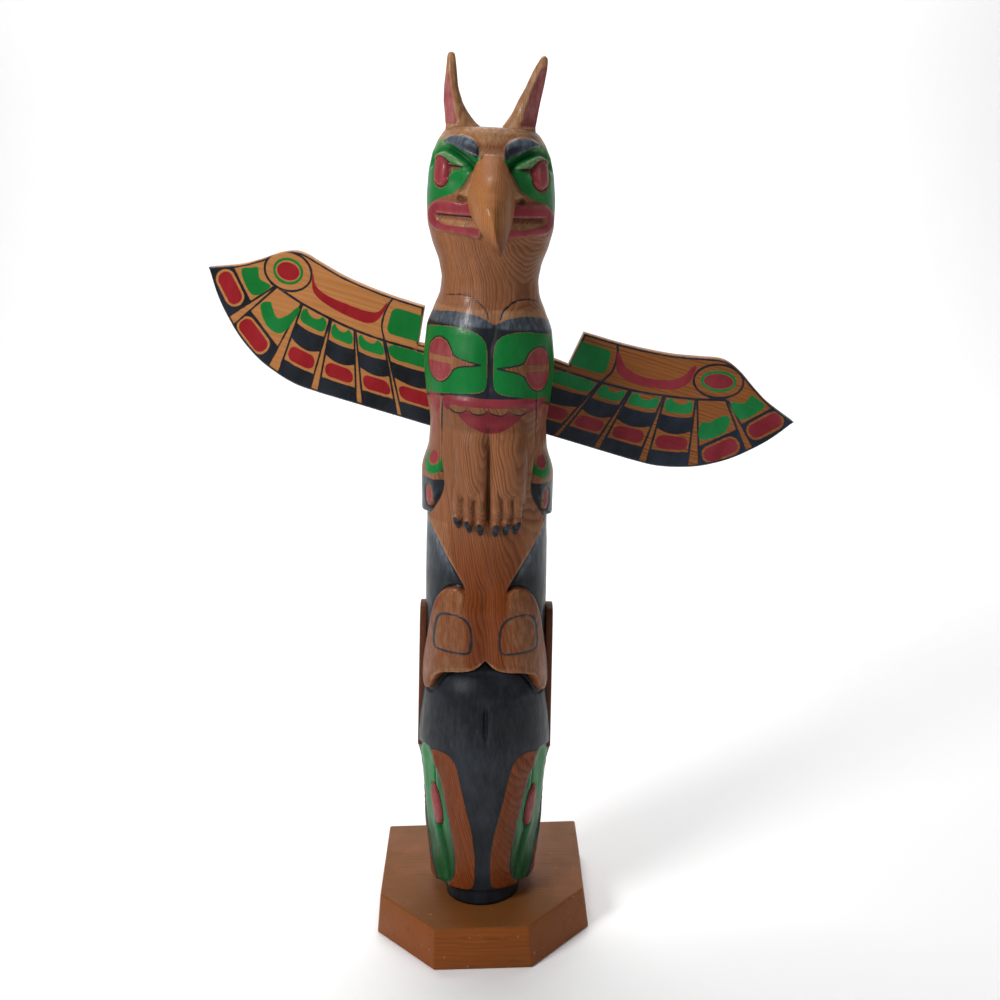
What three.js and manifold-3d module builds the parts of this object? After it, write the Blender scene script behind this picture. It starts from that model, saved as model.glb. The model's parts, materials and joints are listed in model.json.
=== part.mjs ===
// Carved and painted totem pole: a thunderbird standing on a diving killer whale, on a board base.
// Millimetres, +Z up. The figure faces -Y, +X is on the right of someone who looks at its face.
// The origin is the centre of the base's underside.
import * as THREE from "three";
import { mergeVertices } from "three/addons/utils/BufferGeometryUtils.js";
import Module from "manifold-3d";

const wasm = await Module();
wasm.setup();

// Driving dimensions
const base = { width: 184, depth: 186, thick: 38.2, cutAcross: 51, cutDeep: 59, flare: 4.4 };
const pole = { x: 0.5, y: -11, height: 668, backFlat: 40, lean: 0.0425 };
const foot = { height: 14, radius: 32.6, middle: -14.4, back: 34 };
const gap = 0.3; // between pieces that touch
const wingBoard = { length: 191, thick: 12, slope: 18.7, edgeRound: 1.2 };
const fin = { thick: 6.4, outer: 59, low: 137, high: 268, front: -10, back: 28 };
const finLean = { left: 2, right: 0.6 }; // how far each fin tips in towards the log over its height
const ear = { y: -8, scoopAim: 0.86, scoopFrom: 669.5, scoopTo: 716 };
const skewAtWhale = 0.05; // how far the carving runs downhill to the right, per mm across
const skewAtBird = 0.078;
const lipHeight = 1.8; // how far the lips stand proud
const flukeHeight = 5.2;
const tailStockHeight = 4;
const fanHeight = 4.4; // how far the lobes of the bird's tail flare out at the sides
const columns = 48;
const rowStep = 19;

// Heights above the base with the half width and the depth of the front there.
// Between two stations the carving runs in a smooth line.
const stations = [
  [foot.height - gap, 47.6, 48],
  [40, 50.6, 50.6],
  [70, 53.2, 53],
  [119, 57.2, 56.5],
  [136, 59, 57.5],
  [150, 58.8, 57.5],
  [165, 58, 56.8],
  [188, 55.6, 55],
  [200, 54.4, 53.6],
  [225, 52.8, 51.8],
  [255, 52.2, 50.4],
  [285, 52.2, 49.5],
  [325, 51.8, 48.8],
  [344, 51.2, 48.6],
  [357, 51.2, 49.3],
  [384, 51.4, 52],
  [400, 50.6, 53],
  [414, 49.6, 53.5],
  [430, 48.6, 54],
  [455, 52, 55.5],
  [482, 54.1, 56],
  [507, 52, 52.5],
  [524, 46.2, 47.5],
  [540, 40.6, 42.5],
  [549, 39.7, 41.5],
  [560, 41.4, 42.5],
  [581, 48.4, 47],
  [595, 51.3, 49.5],
  [612, 51.8, 50],
  [630, 50.6, 49.5],
  [645, 47.8, 47.5],
  [655, 43.9, 44.2],
  [663, 39, 40.4],
  [pole.height, 33.5, 35.5],
];

const smooth = (t) => t * t * (3 - 2 * t);
const clamp01 = (t) => Math.min(1, Math.max(0, t));
const mix = (a, b, t) => a + (b - a) * t;

// The half width and front depth at a height
function sectionAt(z) {
  const last = stations.length - 1;
  let i = 0;
  while (i < last - 1 && z > stations[i + 1][0]) {
    i += 1;
  }
  const [z0, w0, f0] = stations[i];
  const [z1, w1, f1] = stations[i + 1];
  const before = stations[Math.max(i - 1, 0)];
  const after = stations[Math.min(i + 2, last)];
  const t = clamp01((z - z0) / (z1 - z0));
  const span = z1 - z0;
  // a cubic whose slope at each station is the gentler of its two sides
  const along = (a, b, j) => {
    const here = (b - a) / span;
    const left = i > 0 ? (a - before[j]) / (z0 - before[0]) : here;
    const right = i < last - 1 ? (after[j] - b) / (after[0] - z1) : here;
    const gentler = (p, q) => (p * q <= 0 ? 0 : Math.sign(p) * Math.min(Math.abs(p), Math.abs(q)));
    const m0 = gentler(left, here) * span;
    const m1 = gentler(here, right) * span;
    const t2 = t * t;
    const t3 = t2 * t;
    return (2 * t3 - 3 * t2 + 1) * a + (t3 - 2 * t2 + t) * m0 + (3 * t2 - 2 * t3) * b + (t3 - t2) * m1;
  };
  return { halfWidth: along(w0, w1, 1), front: along(f0, f1, 2) };
}

// Heights of the rows of the carved skin: every station, and steps between them
function rowHeights(low, high) {
  const marks = [low, ...stations.map((s) => s[0]).filter((z) => z > low + 1 && z < high - 1), high];
  const rows = [low];
  for (let i = 1; i < marks.length; i += 1) {
    const count = Math.max(1, Math.round((marks[i] - marks[i - 1]) / rowStep));
    for (let k = 1; k <= count; k += 1) {
      rows.push(mix(marks[i - 1], marks[i], k / count));
    }
  }
  return rows;
}

function toManifold(geometry) {
  const bare = geometry.index ? geometry.toNonIndexed() : geometry.clone();
  bare.deleteAttribute("normal");
  bare.deleteAttribute("uv");
  const merged = mergeVertices(bare, 1e-4);
  const vertProperties = new Float32Array(merged.attributes.position.array);
  const triVerts = new Uint32Array(merged.index.array);
  return new wasm.Manifold(new wasm.Mesh({ numProp: 3, vertProperties, triVerts }));
}

function toGeometry(solid) {
  const mesh = solid.getMesh();
  const geometry = new THREE.BufferGeometry();
  geometry.setAttribute("position", new THREE.BufferAttribute(new Float32Array(mesh.vertProperties), 3));
  geometry.setIndex(new THREE.BufferAttribute(new Uint32Array(mesh.triVerts), 1));
  geometry.computeVertexNormals();
  return geometry;
}

function moveVertices(geometry, move) {
  const position = geometry.attributes.position;
  const point = new THREE.Vector3();
  for (let i = 0; i < position.count; i += 1) {
    point.fromBufferAttribute(position, i);
    move(point);
    position.setXYZ(i, point.x, point.y, point.z);
  }
  return geometry;
}

// The log between two heights, made fatter all round by grow, which may change with the height:
// round in front, sawn flat behind
function logSolid(growth, low, high) {
  const rows = rowHeights(low, high);
  const steps = rows.length - 1;
  const geometry = new THREE.CylinderGeometry(1, 1, 1, columns, steps);
  moveVertices(geometry, (p) => {
    const z = rows[Math.round((p.y + 0.5) * steps)];
    const { halfWidth, front } = sectionAt(z);
    const grow = typeof growth === "function" ? growth(z) : growth;
    const across = (halfWidth + grow) * p.x;
    const forward = p.z;
    const y = forward > 0 ? -(front + grow) * forward : Math.min(-halfWidth * forward, pole.backFlat);
    p.set(across, y, z);
  });
  return toManifold(geometry);
}

// A flat outline in the front view, pushed through from the middle of the log to past its face
function frontPrism(shape, reach = 90) {
  const prism = { depth: reach, bevelEnabled: false, curveSegments: 6 };
  const geometry = new THREE.ExtrudeGeometry(shape, prism);
  geometry.rotateX(Math.PI / 2);
  return toManifold(geometry);
}

// An outline that stands proud of the log by grow
function raised(shape, grow, low, high) {
  return frontPrism(shape).intersect(logSolid(grow, low, high));
}

// Both hands of a shape: side is -1 for the left of the front view and 1 for the right
function bothSides(make) {
  return make(-1).add(make(1));
}

function mirrored(side, draw) {
  const points = draw().getPoints(5);
  return new THREE.Shape(points.map((p) => new THREE.Vector2(side * p.x, p.y)));
}

function ball(x, y, z, rx, ry, rz) {
  const geometry = new THREE.SphereGeometry(1, 12, 8);
  geometry.scale(rx, ry, rz);
  geometry.translate(x, y, z);
  return toManifold(geometry);
}

// How the finished carving sits: it leans to the right as it rises, and its level lines run downhill
function skewAt(z) {
  const atWhale = skewAtWhale * smooth(clamp01(z / 90));
  const atBird = (skewAtBird - skewAtWhale) * smooth(clamp01((z - 290) / 150));
  return atWhale + atBird;
}

function settle(geometry) {
  return moveVertices(geometry, (p) => {
    const across = p.x;
    const up = p.z;
    p.x = pole.x + pole.lean * up + across;
    p.y += pole.y;
    p.z = base.thick + gap + up - across * skewAt(up);
  });
}

// The round foot that the log stands on, set back under the whale's chin
function footSolid() {
  const geometry = new THREE.CylinderGeometry(1, 1, foot.height, 32, 1);
  moveVertices(geometry, (p) => {
    const reach = p.z > 0 ? foot.radius : foot.back - foot.middle;
    p.set(p.x * foot.radius, foot.middle - p.z * reach, p.y + foot.height / 2);
  });
  return toManifold(geometry);
}

// The lobes of the bird's fanned tail, which flare out beside its hips and end in a square step
function fanLobes() {
  const low = 352.6;
  const high = 413;
  const hip = 37;
  const flare = logSolid((z) => fanHeight * smooth(clamp01((high - z) / 24)), low, high);
  const front = new THREE.BoxGeometry(2 * hip, 200, high - low + 20);
  front.translate(0, -100, (low + high) / 2);
  return flare.subtract(toManifold(front));
}

// The whale's tail stock: a raised diamond that narrows down to the flukes
function tailStock() {
  const outline = new THREE.Shape();
  outline.moveTo(-47, 352);
  outline.quadraticCurveTo(-29, 324, -15, 288);
  outline.lineTo(15, 288);
  outline.quadraticCurveTo(29, 324, 47, 352);
  outline.lineTo(38, 376);
  outline.lineTo(-38, 376);
  outline.closePath();
  return raised(outline, tailStockHeight, 285, 376);
}

// The whale's tail flukes, folded down over its back
function flukes() {
  const lobe = () => {
    const outline = new THREE.Shape();
    outline.moveTo(-0.5, 292);
    outline.lineTo(18, 294);
    outline.bezierCurveTo(30, 296, 41, 290, 43.8, 269);
    outline.lineTo(49, 238);
    outline.lineTo(54, 206);
    outline.quadraticCurveTo(53, 196, 47.5, 199);
    outline.quadraticCurveTo(42, 214, 35.5, 218.5);
    outline.lineTo(9, 226.6);
    outline.lineTo(-0.5, 232);
    outline.closePath();
    return outline;
  };
  return bothSides((side) => raised(mirrored(side, lobe), flukeHeight, 190, 300));
}

// Legs that come out of the belly and end in three toes with claws each
function legs() {
  const leg = { middle: 14.2, radius: 14.6, top: 432, ankle: 365, y: -44 };
  const toe = { radius: 4.8, spread: 8.2, low: 355, clawEnd: 348, clawHeight: 15, forward: 9 };
  return bothSides((side) => {
    const shin = new THREE.CapsuleGeometry(leg.radius, leg.top - leg.ankle - leg.radius, 3, 12);
    shin.rotateX(Math.PI / 2);
    shin.translate(side * leg.middle, leg.y, (leg.top + leg.ankle) / 2 - 4);
    let solid = toManifold(shin);
    for (const place of [-1, 0, 1]) {
      const x = side * leg.middle + place * toe.spread;
      const y = leg.y - toe.forward;
      const finger = new THREE.CapsuleGeometry(toe.radius, 22, 2, 8);
      finger.rotateX(Math.PI / 2);
      finger.translate(x, y, toe.low + 14);
      const claw = new THREE.ConeGeometry(toe.radius * 0.8, toe.clawHeight, 8);
      claw.rotateX(-Math.PI / 2);
      claw.translate(x, y, toe.clawEnd + toe.clawHeight / 2);
      solid = solid.add(toManifold(finger)).add(toManifold(claw));
    }
    return solid;
  });
}

// The ears: heights with how far out the middle is, the width, and where the scoop begins
const earStations = {
  left: [
    [650, 20, 30, 28],
    [660, 20.5, 33, 28],
    [668, 22.3, 28.6, 27.8],
    [677, 27.3, 20.2, 29.2],
    [688, 31, 14.7, 31],
    [700, 32.4, 10.9, 33],
    [714, 32.3, 7.9, 35.3],
    [724, 32.4, 3, 37],
  ],
  right: [
    [650, 20, 30, 24],
    [660, 20.4, 30, 23.5],
    [669, 21.3, 26.5, 23],
    [681, 26.4, 20.8, 26],
    [689, 29, 18.4, 28],
    [702, 33.8, 14.4, 32.6],
    [717, 38.4, 9, 40.2],
    [724.4, 40.3, 3, 44],
  ],
};

// A horn-like ear: a tapering blade with its outer front face cut flat
function earSolid(side) {
  const rows = side < 0 ? earStations.left : earStations.right;
  const steps = rows.length - 1;
  const [aimAcross, aimForward] = [Math.cos(ear.scoopAim), Math.sin(ear.scoopAim)];
  const blade = new THREE.CylinderGeometry(1, 1, 1, 16, steps);
  moveVertices(blade, (p) => {
    const row = Math.round((p.y + 0.5) * steps);
    const [z, middle, width, scoopStart] = rows[row];
    const radius = width / 2;
    const depth = mix(10, 1.5, row / steps);
    let across = p.x * side * radius;
    let forward = p.z * depth;
    const start = Math.max(-1, Math.min(1, (scoopStart - middle) / radius));
    const limit = start * radius * aimAcross + depth * Math.sqrt(1 - start * start) * aimForward;
    const over = across * aimAcross + forward * aimForward - limit;
    if (over > 0 && z > ear.scoopFrom && z < ear.scoopTo) {
      across -= over * aimAcross;
      forward -= over * aimForward;
    }
    p.set(side * (middle + across), ear.y - forward, z);
  });
  return toManifold(blade);
}

// The nose, whose flanks meet the sides of the beak: heights with its half width and how far it stands
// out from the log
const noseStations = [
  [610, 24, -4],
  [613.5, 27, 4],
  [618, 25, 10],
  [623, 21.5, 10],
  [628, 19, 9.4],
  [634, 16, 8],
  [640, 13.4, 5.6],
  [646, 11.4, 2.6],
  [652, 10, -4],
];

function noseSolid(grow) {
  const steps = noseStations.length - 1;
  const lobe = new THREE.CylinderGeometry(1, 1, 1, 20, steps);
  moveVertices(lobe, (p) => {
    const [z, halfWidth, height] = noseStations[Math.round((p.y + 0.5) * steps)];
    const reach = p.z > 0 ? sectionAt(z).front + height + grow : 10;
    p.set(p.x * (halfWidth + grow), -reach * Math.sign(p.z) * Math.sqrt(Math.abs(p.z)), z);
  });
  return toManifold(lobe);
}

function browRidge(side) {
  const outline = () => {
    const brow = new THREE.Shape();
    brow.moveTo(9, 647);
    brow.quadraticCurveTo(12, 661, 26, 662);
    brow.quadraticCurveTo(38, 661, 45, 652);
    brow.quadraticCurveTo(26, 656, 9, 647);
    return brow;
  };
  return raised(mirrored(side, outline), 2.6, 640, 665);
}

// Lips round the corners of the beak, and the slot between them
function lips(side) {
  const outline = () => {
    const lip = new THREE.Shape();
    lip.moveTo(10, 590);
    lip.lineTo(10, 614);
    lip.quadraticCurveTo(30, 616, 50, 612);
    lip.lineTo(60, 600);
    lip.lineTo(50, 589);
    lip.closePath();
    return lip;
  };
  return raised(mirrored(side, outline), lipHeight, 580, 622);
}

function mouthSlot(side) {
  const slot = new THREE.BoxGeometry(40, 30, 5);
  slot.rotateZ(side * 0.45);
  slot.translate(side * 30, -54, 600);
  return toManifold(slot);
}

function eyeBall(side) {
  return ball(side * 35.5, -33.5, 634, 9.5, 9.5, 11.5);
}

// A slot down the blowhole of the whale
function blowhole() {
  return ball(2, -57, 188, 3, 4, 8);
}

// How far a fin tips in towards the log at a height
function finTip(side, z) {
  const whole = side < 0 ? finLean.left : finLean.right;
  return (side * whole * (z - fin.low)) / (fin.high - fin.low);
}

// Flat seats on the whale's sides where the fins are glued
function finSeats() {
  const inner = fin.outer - fin.thick - gap;
  return bothSides((side) => {
    const height = fin.high - fin.low + 2 * gap;
    const cut = new THREE.BoxGeometry(20, fin.back - fin.front + 2 * gap, height);
    cut.translate(side * (inner + 10), (fin.front + fin.back) / 2, fin.low - gap + height / 2);
    moveVertices(cut, (p) => {
      p.x -= finTip(side, p.z);
    });
    return toManifold(cut);
  });
}

function poleSolid() {
  let solid = logSolid(0, foot.height - gap, pole.height);
  for (const piece of [footSolid(), fanLobes(), tailStock(), flukes(), legs(), noseSolid(0)]) {
    solid = solid.add(piece);
  }
  for (const make of [browRidge, lips, eyeBall, earSolid]) {
    solid = solid.add(bothSides(make));
  }
  solid = solid.subtract(bothSides(mouthSlot)).subtract(blowhole()).subtract(finSeats());
  return solid;
}

// The hooked beak, glued to the front of the face: heights with the reach of its ridge, of its widest
// place and of its underside from the middle of the log, and half width
const beakStations = [
  [574.4, 85.4, 84.4, 83, 1.2],
  [577, 88.6, 84, 80.5, 2.6],
  [580, 91, 83, 77, 4.6],
  [585, 93.7, 79, 71, 7.4],
  [591, 95.2, 73, 60, 10.8],
  [599, 95.5, 63, 44, 15],
  [604, 94.8, 56, 38, 16.8],
  [609, 93, 50, 36, 18],
  [615, 88.6, 47, 36, 18.8],
  [622, 81.6, 47, 36, 18.2],
  [629, 74, 47, 36, 16.4],
  [634, 68, 47, 36, 14.6],
  [640, 60.8, 47, 36, 12.4],
  [645, 54.6, 45, 36, 10.8],
  [648.5, 50.4, 44, 36, 9.4],
];
const beakHook = { from: 616, fall: 40, aside: 7.6 }; // the hook turns a little to the right

function beakSolid() {
  const steps = beakStations.length - 1;
  const blob = new THREE.CylinderGeometry(1, 1, 1, 24, steps);
  moveVertices(blob, (p) => {
    const [z, ridge, widest, under, halfWidth] = beakStations[Math.round((p.y + 0.5) * steps)];
    const reach = p.z > 0 ? ridge - widest : widest - under;
    const keel = p.z > 0 ? 1 - 0.25 * p.z : 1; // narrower towards the ridge
    const aside = beakHook.aside * Math.pow(clamp01((beakHook.from - z) / beakHook.fall), 1.9);
    p.set(p.x * halfWidth * keel + aside, -(widest + reach * p.z), z);
  });
  const face = logSolid(lipHeight + gap, 560, 660);
  return toManifold(blob).subtract(face).subtract(noseSolid(gap));
}

// A wing in its own plane: a runs outward from the root's top corner, h runs up
function wingShape(reach, depthScale, tabLength) {
  const a = (v) => v * reach;
  const h = (v) => v * depthScale;
  const outline = new THREE.Shape();
  outline.moveTo(0, 0);
  outline.bezierCurveTo(a(38), h(0), a(75), h(2), a(100), h(9.5));
  outline.bezierCurveTo(a(114), h(14), a(124), h(14), a(136), h(7));
  outline.bezierCurveTo(a(155), h(-6), a(168), h(-14), a(wingBoard.length), h(-21));
  outline.bezierCurveTo(a(183), h(-42), a(168), h(-56), a(152), h(-70));
  outline.bezierCurveTo(a(130), h(-88), a(105), h(-96.5), a(70), h(-96.5));
  outline.lineTo(-tabLength, h(-96.5));
  outline.lineTo(-tabLength, h(-27));
  outline.lineTo(a(-4), h(-31));
  outline.closePath();
  return outline;
}

function wing(side, reach, depthScale, tabLength, corner) {
  const shape = wingShape(reach, depthScale, tabLength);
  const geometry = new THREE.ExtrudeGeometry(mirrored(side, () => shape), {
    depth: wingBoard.thick - 2 * wingBoard.edgeRound,
    bevelEnabled: true,
    bevelThickness: wingBoard.edgeRound,
    bevelSize: wingBoard.edgeRound,
    bevelOffset: -wingBoard.edgeRound,
    bevelSegments: 1,
  });
  geometry.translate(0, 0, wingBoard.edgeRound);
  geometry.rotateX(Math.PI / 2); // the drawing's up becomes +Z, and the board runs from its seat towards -Y
  geometry.translate(0, wingBoard.thick, 0);
  geometry.rotateY(THREE.MathUtils.degToRad(wingBoard.slope));
  geometry.translate(corner.x, pole.y + pole.backFlat + gap, base.thick + corner.z);
  return toGeometry(toManifold(geometry));
}

// A pectoral fin board: rounded at the top, cut square at the bottom
function finGeometry(side) {
  const outline = new THREE.Shape();
  outline.moveTo(fin.front, fin.low);
  outline.lineTo(fin.back - 8, fin.low);
  outline.quadraticCurveTo(fin.back, fin.low, fin.back, fin.low + 10);
  outline.lineTo(fin.back, fin.high - 30);
  outline.quadraticCurveTo(fin.back, fin.high, fin.back - 20, fin.high);
  outline.lineTo(fin.front + 10, fin.high);
  outline.quadraticCurveTo(fin.front, fin.high, fin.front, fin.high - 12);
  outline.closePath();
  const board = { depth: fin.thick, bevelEnabled: false, curveSegments: 6 };
  const geometry = new THREE.ExtrudeGeometry(outline, board);
  const inner = side < 0 ? -fin.outer : fin.outer - fin.thick;
  moveVertices(geometry, (p) => {
    p.set(inner + p.z - finTip(side, p.y), p.x, p.y);
  });
  return settle(toGeometry(toManifold(geometry)));
}

// The board base: square behind, its two front corners cut off, its sides splayed a little
function baseGeometry() {
  const halfWidth = base.width / 2;
  const halfDepth = base.depth / 2;
  const outline = new THREE.Shape();
  outline.moveTo(-halfWidth, halfDepth);
  outline.lineTo(-halfWidth, -halfDepth + base.cutDeep);
  outline.lineTo(-halfWidth + base.cutAcross, -halfDepth);
  outline.lineTo(halfWidth - base.cutAcross, -halfDepth);
  outline.lineTo(halfWidth, -halfDepth + base.cutDeep);
  outline.lineTo(halfWidth, halfDepth);
  outline.closePath();
  const geometry = new THREE.ExtrudeGeometry(outline, { depth: base.thick, bevelEnabled: false });
  moveVertices(geometry, (p) => {
    const splay = 1 + (base.flare / halfWidth) * (1 - p.z / base.thick);
    p.x *= splay;
    if (p.y < 0) {
      p.y *= splay;
    }
  });
  return toGeometry(toManifold(geometry));
}

const paint = {
  cedar: { color: 0x8a5435, roughness: 0.45, metalness: 0 },
  lightCedar: { color: 0xb4713c, roughness: 0.45, metalness: 0 },
  darkStain: { color: 0x4a2a1c, roughness: 0.5, metalness: 0 },
  baseBoard: { color: 0x7b5232, roughness: 0.55, metalness: 0 },
};

const totem = new THREE.Group();

function addPiece(name, geometry, look) {
  const mesh = new THREE.Mesh(geometry, new THREE.MeshStandardMaterial(look));
  mesh.name = name;
  totem.add(mesh);
}

const leftCorner = { x: -32.6, z: 522.8 };
const rightCorner = { x: 103.2, z: 496.6 };
addPiece("base", baseGeometry(), paint.baseBoard);
addPiece("pole", settle(toGeometry(poleSolid())), paint.cedar);
addPiece("beak", settle(toGeometry(beakSolid())), paint.cedar);
addPiece("wing_left", wing(-1, 0.965, 1.02, 50, leftCorner), paint.lightCedar);
addPiece("wing_right", wing(1, 1.045, 0.98, 78, rightCorner), paint.lightCedar);
addPiece("fin_left", finGeometry(-1), paint.darkStain);
addPiece("fin_right", finGeometry(1), paint.darkStain);

export default totem;
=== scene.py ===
import json
import math
import bpy
import bmesh
import numpy as np
from mathutils import Matrix, Vector

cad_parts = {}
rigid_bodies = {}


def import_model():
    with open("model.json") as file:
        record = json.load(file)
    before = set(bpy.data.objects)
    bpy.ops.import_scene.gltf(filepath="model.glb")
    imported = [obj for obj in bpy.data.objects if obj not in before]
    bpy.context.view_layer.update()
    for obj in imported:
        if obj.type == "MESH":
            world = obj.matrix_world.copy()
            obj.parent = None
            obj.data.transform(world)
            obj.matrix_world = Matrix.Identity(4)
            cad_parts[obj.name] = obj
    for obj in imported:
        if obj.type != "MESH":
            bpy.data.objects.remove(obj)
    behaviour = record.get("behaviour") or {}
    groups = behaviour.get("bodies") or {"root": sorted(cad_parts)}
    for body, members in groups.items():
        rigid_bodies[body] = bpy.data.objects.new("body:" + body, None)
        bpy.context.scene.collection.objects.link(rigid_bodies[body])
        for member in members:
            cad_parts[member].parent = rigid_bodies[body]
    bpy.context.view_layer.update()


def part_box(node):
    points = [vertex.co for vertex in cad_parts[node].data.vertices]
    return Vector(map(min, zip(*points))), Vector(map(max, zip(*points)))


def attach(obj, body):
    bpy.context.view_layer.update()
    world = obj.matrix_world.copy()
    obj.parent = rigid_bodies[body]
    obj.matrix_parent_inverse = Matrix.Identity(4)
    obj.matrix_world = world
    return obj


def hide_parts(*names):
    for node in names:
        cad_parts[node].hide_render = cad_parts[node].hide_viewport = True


# A carved and painted totem pole: a thunderbird on a diving killer whale, on a board base.
# The carving is worked out in millimetres around the middle of the log, then set in the frame in metres.

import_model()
mm = 0.001

for existing in list(bpy.data.objects):
    if existing.type in ("LIGHT", "CAMERA"):
        bpy.data.objects.remove(existing)


# Small tools for shapes drawn on the wood, all in millimetres.
def smoothStep(t):
    t = np.clip(t, 0, 1)
    return t * t * (3 - 2 * t)


def rise(distance, soft):
    # 0 outside an outline, 1 inside, over a band of width soft
    return smoothStep(distance / soft + 0.5)


def curve(points, closed=False, steps=6):
    # a smooth line through a few points
    given = np.array(points, float)
    if closed:
        given = np.vstack([given[-1], given, given[:2]])
    else:
        given = np.vstack([2 * given[0] - given[1], given, 2 * given[-1] - given[-2]])
    t = np.linspace(0, 1, steps, endpoint=False)[:, None]
    parts = []
    for p0, p1, p2, p3 in zip(given, given[1:], given[2:], given[3:]):
        parts.append(0.5 * (2 * p1 + (p2 - p0) * t + (2 * p0 - 5 * p1 + 4 * p2 - p3) * t ** 2
                            + (3 * p1 - p0 - 3 * p2 + p3) * t ** 3))
    line = np.vstack(parts)
    return line if closed else np.vstack([line, given[-2]])


def lineDistance(u, v, line):
    # distance to an open line
    nearest = np.full(u.shape, 1e6)
    for (ax, ay), (bx, by) in zip(line[:-1], line[1:]):
        ex, ey = bx - ax, by - ay
        t = np.clip(((u - ax) * ex + (v - ay) * ey) / max(ex * ex + ey * ey, 1e-9), 0, 1)
        nearest = np.minimum(nearest, (u - ax - t * ex) ** 2 + (v - ay - t * ey) ** 2)
    return np.sqrt(nearest)


def inside(u, v, outline):
    # signed distance to a closed outline, above zero inside it
    closed = np.vstack([outline, outline[:1]])
    within = np.zeros(u.shape, bool)
    for (ax, ay), (bx, by) in zip(closed[:-1], closed[1:]):
        if ay != by:
            within ^= ((ay > v) != (by > v)) & (u < (bx - ax) * (v - ay) / (by - ay) + ax)
    return np.where(within, 1.0, -1.0) * lineDistance(u, v, closed)


def oval(u, v, cu, cv, ru, rv, turn=0.0):
    # signed distance to an oval, near enough for its edge
    c, s = math.cos(turn), math.sin(turn)
    du, dv = (u - cu) * c + (v - cv) * s, (v - cv) * c - (u - cu) * s
    reach = np.sqrt((du / ru) ** 2 + (dv / rv) ** 2) + 1e-6
    slope = np.sqrt((du / ru ** 2) ** 2 + (dv / rv ** 2) ** 2) / reach + 1e-6
    return np.clip((1 - reach) / slope, -40, 40)


def roundedBlock(u, v, cu, cv, hu, hv, radius, turn=0.0):
    # signed distance to a rectangle with round corners
    c, s = math.cos(turn), math.sin(turn)
    du = np.abs((u - cu) * c + (v - cv) * s) - hu + radius
    dv = np.abs((v - cv) * c - (u - cu) * s) - hv + radius
    outside = np.hypot(np.maximum(du, 0), np.maximum(dv, 0))
    return radius - outside - np.minimum(np.maximum(du, dv), 0)


def stroke(distance, width):
    # a painted line of that width along where distance is zero
    return width / 2 - np.abs(distance)


def through(stations, at, column):
    # a smooth run through stations, whose slope at each is the gentler of its two sides
    table = np.array(stations, float)
    x, y = table[:, 0], table[:, column]
    steps = np.diff(y) / np.diff(x)
    left, right = np.r_[steps[0], steps], np.r_[steps, steps[-1]]
    slope = np.where(left * right <= 0, 0, np.sign(left) * np.minimum(np.abs(left), np.abs(right)))
    i = np.clip(np.searchsorted(x, at, side="right") - 1, 0, len(x) - 2)
    span = x[i + 1] - x[i]
    t = np.clip((at - x[i]) / span, 0, 1)
    return ((2 * t ** 3 - 3 * t ** 2 + 1) * y[i] + (t ** 3 - 2 * t ** 2 + t) * slope[i] * span
            + (3 * t ** 2 - 2 * t ** 3) * y[i + 1] + (t ** 3 - t ** 2) * slope[i + 1] * span)


def spread(ranges):
    # places along a line, given stretches of (from, to, step)
    places = [ranges[0][0]]
    for low, high, step in ranges:
        count = max(1, round((high - low) / step))
        places += [low + (high - low) * k / count for k in range(1, count + 1)]
    return np.array(places)


def ringFaces(low, high, count):
    # four-sided faces between two closed rings, whose points start at low and at high
    across = np.arange(count)
    beside = (across + 1) % count
    return np.stack([low + across, low + beside, high + beside, high + across], 1).tolist()


def gridFaces(rows, columns):
    faces = []
    for row in range(rows - 1):
        faces += ringFaces(row * columns, (row + 1) * columns, columns)
    return faces


def endFans(count, last, low, high):
    # triangles from the points low and high that close the first ring and the last one
    return ([[low, (j + 1) % count, j] for j in range(count)]
            + [[high, last + j, last + (j + 1) % count] for j in range(count)])


paintLayers = ("black", "green", "red", "worn")
bareWood = -9.0  # what a paint layer holds where there is no paint near


def newObject(name, data):
    made = bpy.data.objects.new(name, data)
    bpy.context.scene.collection.objects.link(made)
    return made


def makePiece(name, points, faces, layers=None):
    mesh = bpy.data.meshes.new(name)
    mesh.from_pydata(np.asarray(points).tolist(), [], faces)
    for layer in paintLayers if layers else ():
        values = np.asarray(layers[layer], np.float32)
        mesh.attributes.new(layer, "FLOAT", "POINT").data.foreach_set("value", values)
    mesh.validate()
    return newObject(name, mesh)


def unpainted(count):
    # the black, green and red layers of that many bare points
    return [np.full(count, bareWood) for layer in paintLayers[:3]]


def coat(piece, material):
    piece.data.materials.clear()
    piece.data.materials.append(material)
    for face in piece.data.polygons:
        face.use_smooth = True


def fixNormals(piece):
    work = bmesh.new()
    work.from_mesh(piece.data)
    bmesh.ops.recalc_face_normals(work, faces=work.faces)
    work.to_mesh(piece.data)
    work.free()


def finishPiece(piece, material, slot, *nodes):
    coat(piece, material)
    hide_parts(*nodes)
    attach(piece, "root")


def colour(code):
    # sRGB hex to linear
    parts = [int(code[i:i + 2], 16) / 255 for i in (1, 3, 5)]
    return [c / 12.92 if c <= 0.04045 else ((c + 0.055) / 1.055) ** 2.4 for c in parts] + [1.0]


def add(tree, kind, inputs, out=0, **settings):
    # one node with its settings, its inputs given as values or as sockets to link
    made = tree.nodes.new("ShaderNode" + kind)
    for key, value in settings.items():
        setattr(made, key, value)
    for key, value in (inputs if isinstance(inputs, dict) else dict(enumerate(inputs))).items():
        if isinstance(value, bpy.types.NodeSocket):
            tree.links.new(value, made.inputs[key])
        else:
            made.inputs[key].default_value = value
    return made.outputs[out]


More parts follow.
